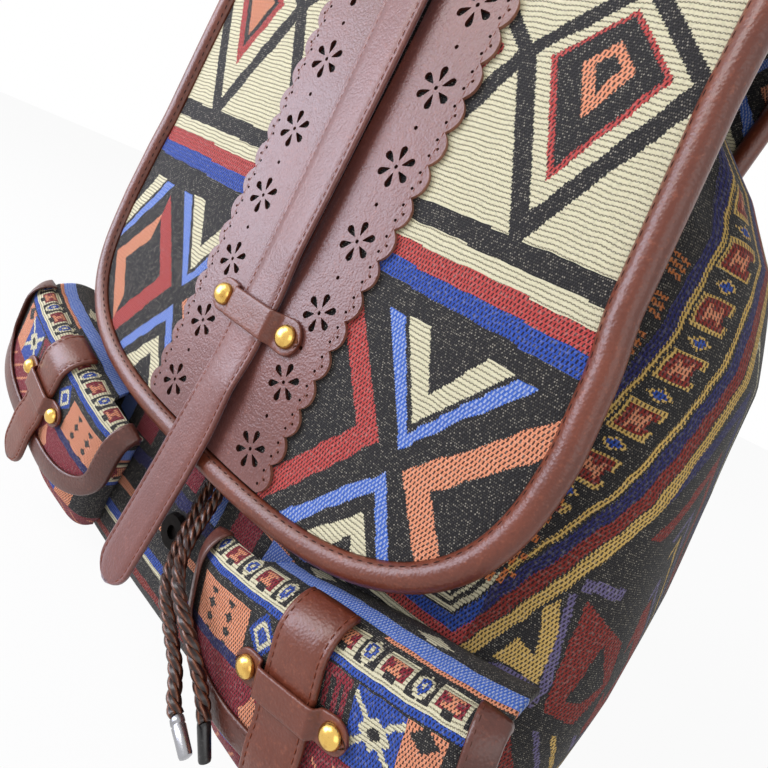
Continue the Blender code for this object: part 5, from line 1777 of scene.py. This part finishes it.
# back: yoke, handle, padded straps, webbing and tabs
backShape = {
    "yokeHalf": 0.0700,
    "yokeLow": 0.2280,
    "yokeHigh": 0.2740,
    "yokeThick": 2.4 * mm,
    "handleRadius": 5.0 * mm,
    "handleHalf": 0.0625,
    "handleTop": 0.3420,
    "padHalf": 0.0230,
    "padThick": 9.0 * mm,
    "webHalf": 12.5 * mm,
    "webThick": 1.6 * mm,
    "gap": 0.3 * mm,
    "padKnots": [  # out, behind the yoke, and up
        (0.0150, 0.0, 0.2320), (0.0152, 0.0012, 0.2440), (0.0180, 0.0110, 0.2580), (0.0280, 0.0300, 0.2570),
        (0.0430, 0.0450, 0.2350), (0.0600, 0.0510, 0.1900), (0.0780, 0.0450, 0.1350), (0.0920, 0.0300, 0.0900),
    ],
    "webFoot": (0.1080, 0.0721, 0.0240),
}
gap = backShape["gap"]
yokeY = float(np.interp(flapEnd, flapRows[:, 0], flapRows[:, 1])) + gap * 2


def yokePiece():
    low, high, half = backShape["yokeLow"], backShape["yokeHigh"], backShape["yokeHalf"]
    corners = [(-half, low), (half, low), (half * 0.92, high), (-half * 0.92, high)]
    outline = []
    for before, corner, after in zip(np.roll(corners, 1, axis=0), np.array(corners), np.roll(corners, -1, axis=0)):
        a, b = corner + unit(before - corner) * 0.006, corner + unit(after - corner) * 0.006
        for share in np.linspace(0, 1, 7):
            outline.append((1 - share) ** 2 * a + 2 * share * (1 - share) * corner + share**2 * b)
    outline = np.array(outline)
    fill = [(x, z) for x in np.arange(-0.058, 0.0581, 0.006) for z in np.arange(low + 0.006, high - 0.004, 0.006)]
    points, faces = flatPlate(outline, [], fill)

    def place(x, z, lift):
        rim = np.minimum(1.0, np.minimum(z - low, high - z) / 0.005)
        puff = 0.5 * mm * ease(rim) * (lift > 0.001)
        return np.stack([x, yokeY + lift + puff, z], axis=-1)

    item = bentPlate("yoke_leather", points, faces, place, 0.0, backShape["yokeThick"], (brownLeather, edgeLeather))
    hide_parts("back_yoke")
    shrink = np.array([(x * 0.965, low + (z - low) * 0.90 + 0.0023) for x, z in np.vstack([outline, outline[:1]])])
    line = [(x, yokeY + backShape["yokeThick"] + 0.25 * mm, z) for x, z in evenly(shrink, 1.0 * mm)]
    stitchRow("yoke_stitches", line, [(0, 1, 0)] * len(line), redThread, "back")


yokePiece()
handleY = yokeY + backShape["yokeThick"] + backShape["handleRadius"] + gap
arch, half = backShape["handleTop"] - backShape["handleRadius"], backShape["handleHalf"]
rise = [(1.0, 0.0, 0.246), (1.0, 0.0, 0.262), (0.98, 0.001, 0.290), (0.78, 0.002, 0.322), (0.3, 0.003, arch)]
handleKnots = [(-half * x, handleY + y, z) for x, y, z in rise] + [(half * x, handleY + y, z) for x, y, z in rise[::-1]]
handlePath = smoothPath(handleKnots, 2.2 * mm)
handle = roundTube("handle_roll", handlePath, backShape["handleRadius"], pipingLeather, sides=20, first=(0, 1, 0))
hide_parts("carry_handle")
handleFrames = carriedFrames(handlePath, (0, 1, 0))
seam = [p + up * backShape["handleRadius"] * 0.99 for p, (_, side, up) in zip(handlePath, handleFrames)]
seamNormals = [up for _, _, up in handleFrames]
stitchRow("handle_stitches", seam[12:-12], seamNormals[12:-12], darkThread, "handle")


def padRing(centre, along, half, thick, across):
    across = np.asarray(across, float)
    wide = unit(across - along * (along @ across))
    out = unit(np.cross(wide, along))
    # flat sewn edges with a crowned middle
    section = []
    shares = np.linspace(-1, 1, 25)
    for sign in (1, -1):
        for share in (shares if sign > 0 else shares[::-1][1:-1]):
            edgeIn = (1 - abs(share)) / 0.16
            crown = 0.16 + 0.84 * min(1.0, float(ease(edgeIn))) * (1 - 0.10 * share * share)
            section.append((share * half, sign * thick / 2 * crown if abs(share) < 1 else 0.0))
    return [centre + wide * a + out * b for a, b in section], wide, out


def shoulderStrap(side, word):
    base = yokeY + backShape["yokeThick"] + backShape["padThick"] / 2 + gap * 2
    knots = [(side * (x + 0.012), base + y, z) for x, y, z in backShape["padKnots"]]
    path = smoothPath(knots, 2.6 * mm)
    rings, rimA, rimB, outs = [], [], [], []
    for i, point in enumerate(path):
        ahead = path[min(i + 1, len(path) - 1)] - path[max(i - 1, 0)]
        share = i / (len(path) - 1)
        padHalf = backShape["padHalf"] - 0.007 * float(ease((share - 0.6) / 0.4))
        ring, wide, out = padRing(point, unit(ahead), padHalf, backShape["padThick"], (1.0, 0.0, side * 0.12))
        rings.append(ring)
        rimA.append(point + wide * (padHalf - 3.2 * mm) + out * backShape["padThick"] * 0.36)
        rimB.append(point - wide * (padHalf - 3.2 * mm) + out * backShape["padThick"] * 0.36)
        outs.append(out)
    shares = np.concatenate([np.linspace(-1, 1, 25), np.linspace(1, -1, 25)[1:-1]])
    uvs = np.stack(np.meshgrid(shares * backShape["padHalf"], lengths(path)), axis=-1) / mm
    item = loftBody("shoulder_pad_" + word, rings, strapFabric, uvs=uvs)
    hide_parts("shoulder_strap_" + word)
    for line, tag in ((rimA, "a"), (rimB, "b")):
        stitchRow("pad_stitches_" + word + "_" + tag, line, outs, darkThread, "back")

    coarse = smoothPath(knots, 11.5 * mm)
    along = unit(coarse[-1] - coarse[-2])
    top = coarse[-1] + along * gap * 2
    foot = np.array(backShape["webFoot"]) * [side, 1, 1]
    run = unit(foot - top)
    face = unit(np.cross(run, np.cross((0.0, 1.0, 0.2), run)))
    wide = unit(np.cross(run, face))
    length = np.linalg.norm(foot - top)
    rows = []
    for share in np.linspace(0, 1, 42):
        centre = top + run * length * share
        left, right = centre - wide * backShape["webHalf"], centre + wide * backShape["webHalf"]
        if share == 0:
            seat = coarse[-1] + along * gap
            left = left + run * ((seat - left) @ along / (run @ along))
            right = right + run * ((seat - right) @ along / (run @ along))
        rows.append((left + face * backShape["webThick"] / 2, right + face * backShape["webThick"] / 2, face))
    web = strapSolid("webbing_band_" + word, rows, backShape["webThick"], webbingYarn)
    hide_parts("webbing_" + word)


for side, word in sides:
    shoulderStrap(side, word)
    dressNode("anchor_tab_" + word, brownLeather)
print("back is set")
